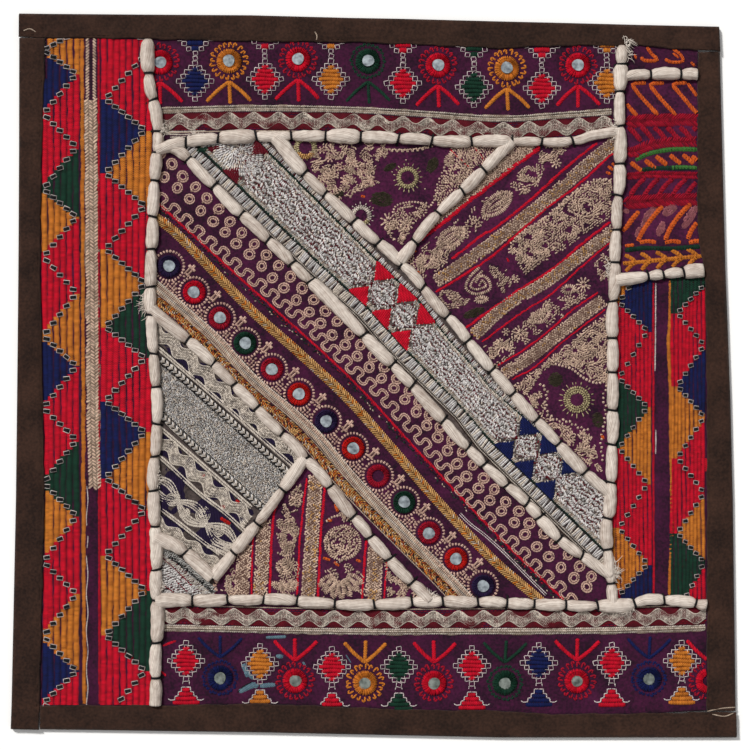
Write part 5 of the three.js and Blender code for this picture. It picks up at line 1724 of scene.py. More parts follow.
def chip_rows(work, low, high):
    """Rows of chips on both sides of a chain of small diamonds. They close in on a neck at each
    end, and a dark red line runs between one row and the next."""
    along = np.arange(low, high + 0.1, 1.2)
    place = (along - low) * PX / math.sqrt(2)
    to_end = np.minimum(place, place[-1] - place)
    for row, reach in enumerate((1.3, 3.9, 6.5, 9.1, 11.3)):
        for side in (-1, 1):
            zigzag = np.abs((place / CELL) % 1 - 0.5) * 4 - 1
            off = reach + 1.25 * (1 - reach / 13) * zigzag
            limit = to_end * 0.98
            path = silver_place(along, side * np.minimum(off, limit) / HALF_FIELD)
            ok = limit > off - 1.6
            if ok.sum() < 3:
                continue
            dull = row == 4
            silver_chips(work, path[ok], 1.25, 2.4, side * (1.0 if row % 2 else -1.0),
                         (0.4, 0.95) if dull else (0.45, 0.92), "galloon" if dull else "silver", 1.3)
            if dull:
                continue
            line = Track(silver_place(along, side * np.minimum(off + 1.3, limit) / HALF_FIELD))
            s = np.arange(0, line.length, 1.5)
            s = s[RNG.random(len(s)) < 0.85]
            x, y, turn = line.at(s, RNG.normal(0, 0.3, len(s)))
            work.stitches(x, y, turn + RNG.normal(0, 0.3, len(s)), 1.7, 0.55, 0.95, "maroon",
                          RNG.uniform(0.6, 1.0, len(s)))


BURST_PLACE = (237.2, 150.6)
BAND_END_BITS = [("green", [(197, 151.5), (202, 149.5), (208, 150)]),
                 ("maroon", [(208, 149.5), (213, 148.5), (219, 146)])]


def burst(work, middle, reach):
    """Spiky stitches that point away from the middle of a lozenge, ring round ring."""
    for ring, r in enumerate(np.arange(1.0, reach, 1.9)):
        count = int(2 * math.pi * r / 1.25) + 3
        around = np.linspace(0, 2 * math.pi, count, endpoint=False) + RNG.uniform(0, 1)
        along, across = 1.25 * r * np.cos(around), 0.9 * r * np.sin(around)
        lean = -math.pi / 4
        x = middle[0] + along * math.cos(lean) - across * math.sin(lean)
        y = middle[1] + along * math.sin(lean) + across * math.cos(lean)
        work.stitches(x, y, around + lean + (0.9 if ring < 2 else 0.25) + RNG.normal(0, 0.2, count), 2.7,
                      1.15, 0.86, list(RNG.choice(["silver", "galloon"], count, p=[0.7, 0.3])),
                      RNG.uniform(0.45, 1.0, count))
        if ring < 5:
            some = RNG.random(count) < 0.5
            work.stitches(x[some] + 0.5, y[some] + 0.5, around[some] + lean, 1.6, 0.5, 0.95, "maroon", 0.8)


def silver_band(work):
    turn = -math.pi / 4
    corners = [(end, side * 0.96) for side in (-1, 1) for end in BAND_ENDS[::-side]]
    field = np.vstack([silver_place(*corner) for corner in corners])
    x, y = grid_in(field, turn, 2.2, 1.5)
    work.stitches(x, y, turn + RNG.choice([-1.0, 1.0], len(x)) + RNG.normal(0, 0.3, len(x)), 2.1, 1.0, 0.5,
                  list(RNG.choice(["galloon", "steel", "silver", "maroon"], len(x),
                                  p=[0.45, 0.25, 0.2, 0.1])),
                  RNG.uniform(0.35, 0.85, len(x)))
    # Chips of bright thread in nested lozenges, a dark red line between one and the next
    ends = [place for place, _ in NECKS] + [BAND_ENDS[1]]
    for low, high in zip(ends, ends[1:]):
        chip_rows(work, low, high)
    burst(work, px([BURST_PLACE])[0], 12.5)
    # Coloured triangles on both sides of each neck
    for place, thread in NECKS:
        for side in (-1, 1):
            wide, deep = (17.5, 0.78) if thread != "maroon" else (15.0, 0.6)
            for row in np.arange(0, 1, 0.13):
                left = silver_place(place - wide * (1 - row), side * (1.0 - deep * row))
                right = silver_place(place + wide * (1 - row), side * (1.0 - deep * row))
                path = np.vstack([left, right])
                if np.hypot(*(path[1] - path[0])) > 1:
                    work.ribbon(path, 2.1, 0.85, thread, 1.2, 0.1, sides=4, tone=0.66, vary=0.08, lift=0.1)
    # The fringe along both edges, then the dark line, then the satin blocks
    along = np.arange(*BAND_ENDS, 2.3)
    clear = np.min([np.abs(along - place) - (11 if thread == "maroon" else 15) for place, thread in NECKS],
                   axis=0) > 0
    for side in (-1, 1):
        spots = silver_place(along, side * 0.9)[clear]
        work.stitches(spots[:, 0], spots[:, 1], turn + math.pi / 2 + side * 0.35
                      + RNG.normal(0, 0.2, len(spots)), 3.6, 1.0, 0.92,
                      list(RNG.choice(["galloon", "steel", "oat"], len(spots), p=[0.5, 0.3, 0.2])),
                      RNG.uniform(0.35, 1.0, len(spots)))
        edge = silver_place(np.arange(*EDGE_ENDS, 4.0), side * 1.03)
        work.ribbon(edge, 2.5, 0.7, "green", 0.9, 0.5, tone=0.3, vary=0.3)
        work.ribbon(edge + 0.5 * side, 1.2, 0.85, "black", 0.9, 0.5, tone=0.4)
    blocks(work, -1, 1.36, 9.5, 6.6, ("silver", "galloon", "silver"), (0.4, 1.0))
    blocks(work, 1, 1.21, 9.2, 3.6, ("silver", "galloon", "silver"), (0.35, 1.0))
    # Long lines beside cord f. The brown one nearest the cord is painted shade beside it.
    for share, thread in ((-1.83, "brown"), (-1.77, "galloon"), (-1.71, "black"), (-1.66, "galloon")):
        line = silver_place(np.arange(*EDGE_ENDS, 6.0), share)
        work.ribbon(line + RNG.normal(0, 0.1, line.shape), 1.0, 0.5, thread, 1.6, 0.15, tone=0.35)
    work.ribbon(silver_place(np.arange(*START_LINE, 4.0), -0.9), 2.2, 0.6, "green", 0.9, 0.4, tone=0.4)
    for thread, points in BAND_END_BITS:
        work.ribbon(px(points), 3.4, 0.75, thread, 1.2, 0.15, sides=5, tone=0.5, vary=0.1, lift=0.2)


def blocks(work, side, share, pitch, length, kinds, tones):
    """A row of satin blocks, each of four strands across the row, with a dark gap after each."""
    for place in np.arange(EDGE_ENDS[0] + 2, EDGE_ENDS[1], pitch * 1.4142):
        for k in range(4):
            spot = silver_place(place + k * 2.75, side * share)[0] + RNG.normal(0, 0.1, 2)
            work.stitches(np.array([spot[0]]), spot[1], math.pi / 4 + RNG.normal(0, 0.12), length, 1.35,
                          0.95, kinds[int(RNG.integers(3))], RNG.uniform(*tones, 1), square=0.4)
        dark = silver_place(place + 11.0, side * share)[0]
        work.stitches(np.array([dark[0]]), dark[1], math.pi / 4 + RNG.normal(0, 0.2), length * 0.9, 0.7,
                      0.4, "black" if side < 0 else "maroon", 0.5)
    for off in (-0.06, 0.11) if side > 0 else (0.03,):
        work.ribbon(silver_place(np.arange(*EDGE_ENDS, 5.0), side * (share + off)), 0.35, 0.98, "maroon",
                    1.6, 0.3, tone=0.5)


def ring_flower(work, place, inner, outer, reach, thread="olive", low="olive"):
    """A thick ring of crowded stitches, with short ticks that point outwards; its mirror is lost."""
    cx, cy = px([place])[0]
    for k, radius in enumerate(np.linspace(inner + 1.1, outer - 0.9, 3)):
        n = int(2 * math.pi * radius / 1.25)
        t = np.linspace(0, 2 * math.pi, n, endpoint=False) + 0.3 * k
        kinds = [low if math.sin(a) < -0.55 else thread for a in t]
        work.stitches(cx + radius * np.cos(t), cy + radius * np.sin(t),
                      t + math.pi / 2 * (k % 2) + RNG.normal(0, 0.35, n), 1.9, 1.1, 0.95, kinds,
                      RNG.uniform(0.3, 1.0, n))
    n = int(2 * math.pi * outer / 2.4)
    t = np.linspace(0, 2 * math.pi, n, endpoint=False) + RNG.normal(0, 0.04, n)
    middle = (outer + reach) / 2
    work.stitches(cx + middle * np.cos(t), cy + middle * np.sin(t), t,
                  (reach - outer) * RNG.uniform(0.6, 1.3, n), 0.7, 0.5, thread, RNG.uniform(0.5, 1.0, n))


def scallops(work, points, size):
    """Little loops side by side along a line."""
    track = Track(px(points), curved=True)
    for s in np.arange(0, track.length, size * 1.25):
        x, y, turn = track.at(np.array([s]), size * 0.4)
        t = np.linspace(turn[0], turn[0] + math.pi, 5)
        work.stitches(x[0] + size / 2 * np.cos(t), y[0] + size / 2 * np.sin(t), t + math.pi / 2, 1.35, 0.8,
                      0.75, "beige", RNG.uniform(0.5, 1.0, 5))


def upper_triangle(work):
    sew(work, UPPER_FIGURES)


TRAPEZOID_REDS = [
    ([(404, 250), (440, 225), (486, 188), (541, 146)], 3.1, 0.9),
    ([(452, 259), (466, 248), (484, 234), (495, 228.5), (532, 198.5), (562, 171), (598, 142)], 2.0, 0.7),
    ([(436, 292), (484, 262), (512, 239), (543, 211), (578, 185), (614, 152)], 1.9, 0.7),
    ([(466, 328), (478, 319), (520, 289.5), (555, 267.5), (578, 247), (611, 221)], 2.0, 0.7),
    ([(482, 342), (524.6, 310.7), (550, 295), (583.5, 265), (612, 241)], 1.5, 0.6),
    ([(497, 366), (523.5, 350), (550, 330), (574, 309), (598, 292.5)], 1.5, 0.6),
    ([(512, 379.6), (535, 367), (559, 345), (582, 327), (605, 309.5)], 1.3, 0.6),
]
TRAPEZOID_BRAIDS = [
    ([(436, 281), (451.5, 272), (495, 241), (543, 203), (595, 158.5), (616, 142)], 7.6, 0.34),
    ([(474, 335), (508.5, 304), (543, 284), (578, 258), (614, 230)], 7.2, 0.3),
    ([(504, 374), (530, 357), (556, 336), (582, 316), (604, 300)], 7.4, 0.05),
]


def striped_trapezoid(work):
    for points, width, height in TRAPEZOID_REDS:
        thread_line(work, points, width, "red", height, 0.4, 0.9, 0.72, rough=0.14)
    for points, width, flecks in TRAPEZOID_BRAIDS:
        lattice(work, points, width, "beige", "ochre", flecks)
    sew(work, TRAPEZOID_FIGURES)


TRIANGLE_REDS = [
    ([(252.8, 535), (252, 560), (251.5, 596)], 1.4),
    ([(277, 504), (273.5, 516), (271.5, 545), (269.5, 596)], 1.9),
    ([(306.8, 478), (304, 500), (302, 520), (299.5, 545), (297, 596)], 1.6),
    ([(325, 486), (322.5, 515), (320.6, 538), (318, 598)], 2.0),
    ([(367, 538), (364.5, 560), (361.9, 600)], 1.9),
    ([(387, 556), (386, 575), (384, 600)], 1.5),
]


def striped_triangle(work):
    for points, width in TRIANGLE_REDS:
        thread_line(work, points, width, "red", 0.7, 0.4, 0.9, 0.8, rough=0.12)
    sew(work, TRIANGLE_FIGURES)


def coil(work, points):
    """Two rows of short stitches side by side, along a line that winds in."""
    line = Track(px(points), curved=True)
    sawtooth(work, line.beside(0.0, 1.0), 2.2, 1.1, closed=False)
    sawtooth(work, line.beside(2.6, 1.0), 1.7, 1.1, closed=False)


def knot(work, place, turn, length, width, height, thread, tone):
    """One thick stitch."""
    x, y = px([place]).T
    work.stitches(x, y, turn, length, width, height, thread, tone)


def vase_foot(work, across, middle):
    """Small leaves side by side that spread from the middle."""
    for x in across:
        leaf(work, (x, middle[1]), 10, 4.5, 1.9 - (x - middle[0]) * 0.09, "beige", False)


def leaf_fan(work, middle, wide, tall, turns):
    """Leaves that spread from one point."""
    for turn in turns:
        tip = (middle[0] + wide * math.cos(turn), middle[1] - tall * math.sin(turn))
        leaf(work, tip, 17, 5.2, turn, "beige", False)


def wheel(work, place, radius, squash):
    """A round figure of crowded knots with small dark holes."""
    cx, cy = px([place])[0]
    radius = radius * PX
    for r in np.arange(0.6, radius, 1.35):
        n = max(4, int(2 * math.pi * r / 1.3))
        t = np.linspace(0, 2 * math.pi, n, endpoint=False) + RNG.uniform(0, 1)
        rim = r > radius - 2
        t = t[(RNG.random(n) > 0.1) | rim]
        off = r + RNG.normal(0, 0.15 if rim else 0.4, len(t))
        x, y = cx + off * np.cos(t), cy + squash * off * np.sin(t)
        lean = 0.0 if rim else RNG.choice([-0.9, 0.5, 1.3], len(t))
        work.stitches(x, y, t + lean + RNG.normal(0, 0.35, len(t)), RNG.uniform(1.5, 2.4, len(t)), 1.1, 0.9,
                      "beige", RNG.uniform(0.35, 1.0, len(t)))


# The silver patch's black and white chains and its silver lines
CHAIN_LINES = [[(160, 359), (168.4, 365.6), (205, 397.7), (237, 426.4), (292, 476)],
               [(158, 413), (167, 420.7), (205, 456.5), (262, 508)]]
SILVER_LINES = [[(156, 345), (161.5, 350.7), (223.5, 404), (300, 472)],
                [(156, 425), (164, 431), (207, 468.5), (252, 508)],
                [(156, 454), (167, 463), (200, 493.5), (223, 511), (246, 532)],
                [(158, 506), (165, 512), (200, 539), (220, 554)]]


def chevron_chain(work, points, way):
    """A row of black and white chevrons between two black lines."""
    track = Track(px(points), curved=True)
    s = np.arange(0, track.length, 3.05)
    work.ribbon(track.beside(0.0, 1.6), 4.2, 0.16, "galloon", 1.4, 0.1, sides=4, tone=0.4, edge=0.85)
    for side in (-1, 1):
        for off, thread, wide, tone, height in ((0.0, "black", 1.0, 0.3, 0.95),
                                                (1.2, "silver", 0.85, 0.85, 0.8),
                                                (2.1, "galloon", 0.7, 0.7, 0.78)):
            x, y, turn = track.at(s + off, side * 0.85)
            work.stitches(x, y, turn - side * 0.72, 2.2, wide, height, thread,
                          tone + RNG.uniform(-0.1, 0.1, len(s)), square=0.4)
    work.ribbon(track.beside(way * 2.2, 1.2), 1.2, 0.8, "black", 1.0, 0.35, tone=0.35)
    work.ribbon(track.beside(-way * 2.2, 1.2), 0.7, 0.7, "black", 1.2, 0.35, tone=0.4)


def silver_line(work, points, way):
    """Two silver cords close together with a dark edge."""
    track = Track(px(points), curved=True)
    for aside, width, tone in ((-0.85, 1.35, 0.7), (0.55, 1.35, 0.85)):
        work.ribbon(track.beside(aside, 1.0), width, 0.85, "galloon", 0.9, 0.25, tone=tone)
    work.ribbon(track.beside(1.6 * way, 1.3), 0.8, 0.6, "black", 1.1, 0.3, tone=0.4)


# Where the winding cords of the silver patch run out: its upper line and its lower one
SILVER_END = [[(206, 546), (218, 551), (229, 558), (226, 566)],
              [(218, 541), (228, 546), (236, 552), (231, 561)]]


# The silver patch's dark stripes of cloth with their widths, and its waved braids with their
# distance from the line and where the wave starts
NAVY_STRIPES = [
    ([(150, 329), (182, 355), (236, 405), (302, 464)], 10.5),
    ([(152, 437), (180, 460), (210, 486), (250, 520)], 11.0),
    ([(150, 476), (180, 500), (208, 523), (236, 545)], 24.0), ([(152, 520), (180, 538), (210, 560)], 12.0)]
SILVER_WAVES = [([(150, 327), (182, 353), (209.7, 380), (236, 405), (264.8, 428.5), (300, 458)], 0.4, 0.9),
                ([(152, 436), (168.4, 448.3), (196, 473.8), (221, 496.5), (250, 520)], 0.0, 2.2)]
LOW_WAVE = [(154, 520), (180, 538), (204, 556), (216, 566)]
# Its wide field, the line that its cords wind round, the spirals between them and the red bars
SILVER_FIELD = [(154, 360), (168, 370.5), (205, 402.5), (237, 431), (292, 481), (288, 516), (262, 507),
                (207, 455.5), (170, 420), (154, 408)]
WINDING_LINE = [(150, 478), (180, 503), (208, 526), (240, 548)]
SPIRALS = [((172, 499), 4.4), ((202, 515), 4.6), ((218, 531), 3.4), ((184, 514), 3.0)]
RED_BARS = [[(201, 473), (205, 477)], [(221, 505), (226, 508)], [(219, 517), (230, 524)],
            [(236, 500), (240, 504)]]
SILVER_TURN = math.radians(-41)


def silver_patch(work):
    for points, width in NAVY_STRIPES:
        cloth_stripe(work, points, width, "navy")
    for points, middle, phase in SILVER_WAVES:
        base = Track(px(points), curved=True)
        wave_braid(work, base, middle, phase, 13.4, 1.7, 7.6)
    for points, way in zip(SILVER_LINES, (1, -1, -1, -1)):
        silver_line(work, points, way)
    for points, way in zip(CHAIN_LINES, (-1, 1)):
        chevron_chain(work, points, way)
    # The wide field between the chains: crowded tiny stitches, white and grey
    x, y = grid_in(px(SILVER_FIELD), SILVER_TURN, 1.0, 0.78)
    field_turn = SILVER_TURN + RNG.choice([-0.7, 0.8], len(x)) + RNG.normal(0, 0.4, len(x))
    work.stitches(x, y, field_turn, 1.35, 0.7, 0.62,
                  list(RNG.choice(["silver", "steel", "galloon"], len(x))), RNG.uniform(0.28, 0.98, len(x)))
    # Cords that wind through one another, with a spiral in each opening
    base = Track(px(WINDING_LINE), curved=True)
    for phase in (0.0, math.pi):
        s = np.arange(0, base.length, 0.5)
        x, y, _ = base.at(s, 5.6 * np.sin(2 * math.pi * s / 42 + phase))
        double_cord(work, np.column_stack([x, y]), "galloon", 2.9, 0.95, 0.9, tone=0.75)
        x, y, _ = base.at(s, 2.9 * np.sin(2 * math.pi * s / 42 + phase))
        double_cord(work, np.column_stack([x, y]), "galloon", 2.5, 0.85, 0.9, tone=0.65)
    for place, size in SPIRALS:
        cx, cy = px([place])[0]
        t = np.linspace(0.5, 4.4 * math.pi, 60)
        r = size * t / t[-1]
        double_cord(work, np.column_stack([cx + r * np.cos(t), cy + r * np.sin(t)]), "galloon", 1.8, 1.0,
                    0.8, tone=0.8)
    wave_braid(work, Track(px(LOW_WAVE), curved=True), -0.4, 1.0, 13.4, 1.4, 6.4)
    for share in np.linspace(0.0, 1.0, 4):
        strand = px(SILVER_END[0]) * (1 - share) + px(SILVER_END[1]) * share
        double_cord(work, smooth(strand), "galloon", 2.3, 0.9, 0.85, tone=0.7)
    for points in RED_BARS:
        chain(work, points, 2.6, "scarlet", 0.6, curved=False)


def cloth_stripe(work, points, width, thread):
    """A stripe of dark cloth that shows between the silver braids."""
    track = Track(px(points), curved=True)
    work.ribbon(track.beside(0.0, 2.5), width, 0.14, thread, 2.2, sides=9, tone=0.32, vary=0.06)


# The corner patch in photograph pixels: its field and the bare strip beside it, its black edge
# under the cord, the dark red lines between bunches of silver stitches, the beads and the short
# lines beside them
CORNER_FIELD = [(156, 552), (170, 558), (215, 592), (216, 604), (150, 604)]
CORNER_BARE = [(213, 576), (219, 576), (225, 592), (217, 592)]
CORNER_EDGE = [(158, 551), (172, 559), (192, 575), (213, 593)]
CORNER_LINES = [[(160, 556), (176, 570), (193, 587)], [(163, 585), (168, 588), (174, 593)],
                [(176, 581), (183, 588), (188, 592)]]
CORNER_BEADS = [(216, 574), (217, 577.5), (215.5, 581), (214, 585), (215.5, 589)]
CORNER_BARS = [[(226, 575), (227.5, 592)], [(230, 577), (231, 592)]]


def corner_beads(work):
    """The beads beside the corner patch. They lie across its seam, so both patches draw them."""
    for place in CORNER_BEADS:
        cx, cy = px([place])[0]
        work.stitches([cx, cx + 0.5], np.array([cy, cy - 0.4]), RNG.uniform(0, 3.1, 2), 2.3, 1.5, 1.05,
                      "cream", 0.85, square=0.36)
    for points in CORNER_BARS:
        work.ribbon(px(points), 1.2, 0.95, "oat", 1.5, 0.2, tone=0.8)


def corner_patch(work):
    turn, bare_turn = math.radians(-40), math.radians(-80)
    x, y = grid_in(px(CORNER_FIELD), turn, 1.6, 1.2)
    work.stitches(x, y, turn + 0.9 + RNG.normal(0, 0.5, len(x)), 2.3, 1.25, 0.8, "silver",
                  RNG.uniform(0.55, 1.0, len(x)))
    for points in CORNER_LINES:
        thread_line(work, points, 1.15, "crimson", 1.3, 0.3, tone=0.25, curved=False)
    specks = RNG.random(len(x)) < 0.3
    work.stitches(x[specks] + 0.6, y[specks], turn + 0.9, 2.0, 0.8, 1.0, "maroon", 0.8)
    edge = Track(px(CORNER_EDGE), curved=True)
    s = np.arange(0, edge.length, 1.05)
    for aside, thread, long in ((-3.2, "galloon", 2.8), (-1.6, "galloon", 3.0), (0.6, "steel", 2.8),
                                (2.4, "steel", 2.8)):
        x, y, at = edge.at(s, aside + RNG.normal(0, 0.2, len(s)))
        work.stitches(x, y, at + 1.1 + RNG.normal(0, 0.3, len(s)), long, 0.95, 0.9, thread,
                      RNG.uniform(0.35, 0.95, len(s)))
    x, y, at = edge.at(np.arange(0.2 * edge.length, edge.length, 1.3), 0.2)
    work.stitches(x, y, at + 0.8 + RNG.normal(0, 0.3, len(x)), 3.2, 1.2, 1.2, "black", 0.4)
    x, y = grid_in(px(CORNER_BARE), bare_turn, 1.6, 1.0)
    work.stitches(x, y, bare_turn + RNG.normal(0, 0.1, len(x)), 2.2, 1.1, 0.6, "navy", 0.5)
    corner_beads(work)


# The figures of each patch in photograph pixels, in the order in which they are sewn: a figure's
# function, its points or its place, and its sizes. A turn is in radians.
STRIPE_TURN = math.radians(38)
HOOK = [(13, 0), (3, 0.5), (0, 3), (3, 7.5), (13, 19.5), (25, 32.5)]
# The small patch at the top right corner
EDGE_FIGURES = [
    (chain, [(647, 47), (652, 54), (657, 60), (645, 60.5), (641, 57)], 2.4, "orange"),
    (chain, [(673, 49), (680, 54), (683, 61), (672, 62), (665, 59)], 2.2, "orange"),
    (chain, [(673, 53), (679, 58)], 1.8, "orange", dict(curved=False)),
    (chain, [(691, 62), (695, 66)], 2.0, "orange", dict(curved=False)),
    (chain, [(634, 54), (637, 59)], 1.8, "orange", dict(curved=False)),
]
# The leaf patch, from the top down
LEAF_FIGURES = [
    # Orange chain stitch bars with a small hook at the top
    (chains, [(633, 82.5), (651, 82.5), (674, 82.5)], [HOOK], 2.9, "orange"),
    (chain, [(627, 104), (637, 116)], 2.9, "orange", dict(curved=False)),
    (chain, [(688, 83), (697, 96)], 2.4, "orange", dict(curved=False)),
    (herring, [(628, 121.5), (660, 120), (697, 120)], 8.1, "crimson"),
    (chains, [(x, 127) for x in range(628, 700, 13)], [[(0, 0), (6, 5), (13, 14)]], 3.5, "crimson", 0.8),
    (herring, [(628, 152), (636, 151), (650, 145), (670, 142.5), (697, 141.5)], 6.3, "crimson",
     dict(lean=0.9)),
    (chain, [(632, 154), (640, 157), (650, 152)], 2.0, "crimson", 0.7),
    (chain, [(636, 160.5), (645, 155), (660, 151), (678, 149), (697, 149.5)], 3.2, "leaf"),
    (chains, [(631, 162), (645, 160), (656, 156), (670, 155), (683, 154.5), (692, 156)],
     [[(0, 0), (5, 4), (11, 9)]], 3.3, "orange"),
    (chain, [(641, 170), (652, 168.5), (668, 168), (680, 168), (697, 168)], 3.2, "green"),
    (chain, [(670, 168), (682, 167.5), (697, 168)], 3.1, "leaf", 0.98),
    (herring, [(628, 176.5), (650, 174.5), (697, 175.5)], 4.6, "crimson", dict(pitch=1.3)),
    (chains, [(x, 196) for x in range(630, 702, 14)], [[(0, 0), (6, -9), (15, -18)]], 3.3, "crimson", 0.8),
    (herring, [(626, 203), (660, 200), (697, 199)], 8.5, "crimson"),
    (chain, [(638, 241), (643, 231), (652, 218), (663, 206)], 3.4, "orange"),
    (chain, [(665, 240), (670, 229), (679, 216), (691, 203.5)], 3.4, "orange"),
    (chain, [(688, 239), (691, 231), (699, 220)], 3.4, "orange"),
    (chain, [(623, 231), (631, 221), (639, 211)], 3.4, "orange"),
    (chains, [(640, 242.5), (665, 242.5), (689, 242.5)], [[(0, 0), (8, -1.5), (16, -0.5)]], 3.1, "orange"),
    (chain, [(625, 246), (634, 245)], 2.4, "orange", dict(curved=False)),
    # Threadbare spots where the dark cloth has worn pink
    (worn_spot, (649, 216), 24, 8, 1.0, "pink"),
    (worn_spot, (670, 210), 15, 9, 0.6, "pink"),
    (worn_spot, (661, 229), 14, 7, 1.2, "pink"),
    (worn_spot, (690, 217), 26, 8, 1.0, "pink"),
    (worn_spot, (638, 232), 9, 4, 1.2, "pink"),
    (worn_spot, (627, 211), 5, 4, 0, "pink"),
    (chain, [(625, 250), (645, 248), (668, 248.5), (700, 246.5)], 3.2, "green"),
    (chain, [(623, 263.5), (645, 261.5), (670, 259), (702, 256)], 3.0, "gold"),
    (chains, [(x, 263 - (x - 623) * 0.095) for x in np.arange(636, 704, 15.5)],
     [[(0, 0), (-6, -4.5), (-11, -7)], [(0, 0), (-5, 4), (-10, 9.5)]], 2.9, "gold"),
]
# The upper triangle
UPPER_FIGURES = [
    (curls, [(310, 152), (328, 142), (366, 148), (377, 168), (380, 182), (362, 190), (338, 200), (322, 186),
             (312, 170)], "beige", 1.5, 0.5, 0.2, dict(pitch=1.2)),
    (crowd, [(316, 172), (328, 163), (340, 170), (354, 178), (372, 176), (380, 182), (362, 191), (346, 197),
             (330, 194), (320, 184)], 0.2, 1.1, dict(level=0.9)),
    (crowd, [(320, 144), (342, 143), (346, 152), (341, 161), (328, 158)], 0.2, 1.1, dict(level=0.6)),
    (crowd, [(343, 156), (358, 151), (367, 160), (374, 172), (360, 178), (347, 174)], 0.2, 1.1,
     dict(level=0.5)),
    (crowd, [(364, 142), (386, 144), (388, 154), (380, 163), (372, 156)], 0.2, 1.1, dict(level=1.0)),
    (crowd, [(382, 222), (392, 212), (404, 205), (420, 204), (432, 202), (426, 214), (412, 228), (402, 246),
             (392, 240)], 0.2, 1.1, dict(level=0.6)),
    (crowd, [(450, 147), (504, 144), (500, 152), (470, 182), (440, 208), (434, 198), (446, 172)], 2.2, 0.6,
     dict(level=1.6)),
    (spray, (340, 166), 4.5, 6, "cream"),
    (spray, (352, 162), 4.5, 6, "cream"),
    (spray, (362, 170), 5, 7, "cream"),
    (spray, (345, 180), 5, 7, "cream"),
    (spray, (330, 158), 4.5, 6, "cream"),
    (spray, (372, 181), 5, 6, "cream"),
    (spray, (322, 150), 4, 6, "cream"),
    (curls, [(366, 142), (384, 146), (386, 156), (380, 163), (374, 156)], "beige", 1.4, 0.7, 0.5,
     dict(pitch=1.2)),
    (scallops, [(384, 152), (400, 153), (418, 152), (432, 148)], 2.4),
    (beads, [(384, 149), (402, 150), (430, 147)], 1.7, 1.2, "beige"),
    (ring_flower, (407.7, 177.5), 3.4, 6.6, 8.8),
    (ring_flower, (305.5, 147.6), 3.3, 6.8, 7.4, "olive", "ochre"),
    (ring_flower, (361.2, 215.4), 3.0, 6.2, 7.8, "galloon"),
    (worn_spot, (432.4, 165), 16, 10, 1.05, "worn"),
    (worn_spot, (390, 167), 12, 6, 0.5, "worn"),
    (worn_spot, (381.8, 199), 22, 14, -0.1, "worn"),
    (beads, [(449, 156), (444, 170), (438, 184), (434, 201)], 1.75, 1.25, "beige", dict(wave=0.35)),
    (beads, [(455, 160), (449, 176), (443, 190), (438, 203)], 1.75, 1.25, "beige", dict(wave=0.35)),
    (leaf, (449, 160), 11, 6, 1.2, "beige", False),
    (curls, [(458, 150), (480, 146), (478, 158), (466, 176), (452, 192), (448, 188), (455, 170)], "beige",
     1.45, 0.9, 0.1, dict(pitch=1.2)),
    (thread_line, [(450, 149), (458, 157), (470, 168)], 1.2, "red"),
    (thread_line, [(474, 147), (480, 154), (485, 161)], 1.2, "red"),
    (beads, [(393, 212), (396, 206), (404, 203), (412, 202), (421, 203), (429, 207), (435, 199)], 1.7, 1.3,
     "beige"),
    (beads, [(396, 214), (401, 208.5), (412, 206.5)], 1.7, 1.1, "beige"),
    (spray, (388.5, 221), 8.5, 9, "beige"),
    (spray, (407, 223), 7.5, 9, "beige"),
    (spray, (417, 211), 5.0, 5, "beige", 3.6, 3.0),
    (curls, [(384, 228), (396, 220), (410, 228), (402, 244), (394, 240)], "beige", 1.4, 0.8, 0.6,
     dict(pitch=1.2)),
    (beads, [(358, 190), (352, 194), (350, 199)], 2.0, 1.3, "beige"),
    (spray, (391, 172), 1.6, 1, "beige"),
    (spray, (424, 189), 1.6, 1, "beige"),
    (spray, (397, 185), 1.6, 1, "beige"),
    (spray, (369, 201), 1.6, 1, "beige"),
    (spray, (372, 208), 1.6, 1, "beige"),
    (spray, (405, 160), 1.6, 1, "beige"),
    (chain, [(361, 196), (365, 197)], 2.0, "orange", dict(curved=False)),
    (worn_spot, (339, 194), 10, 6, 0.4, "worn"),
]
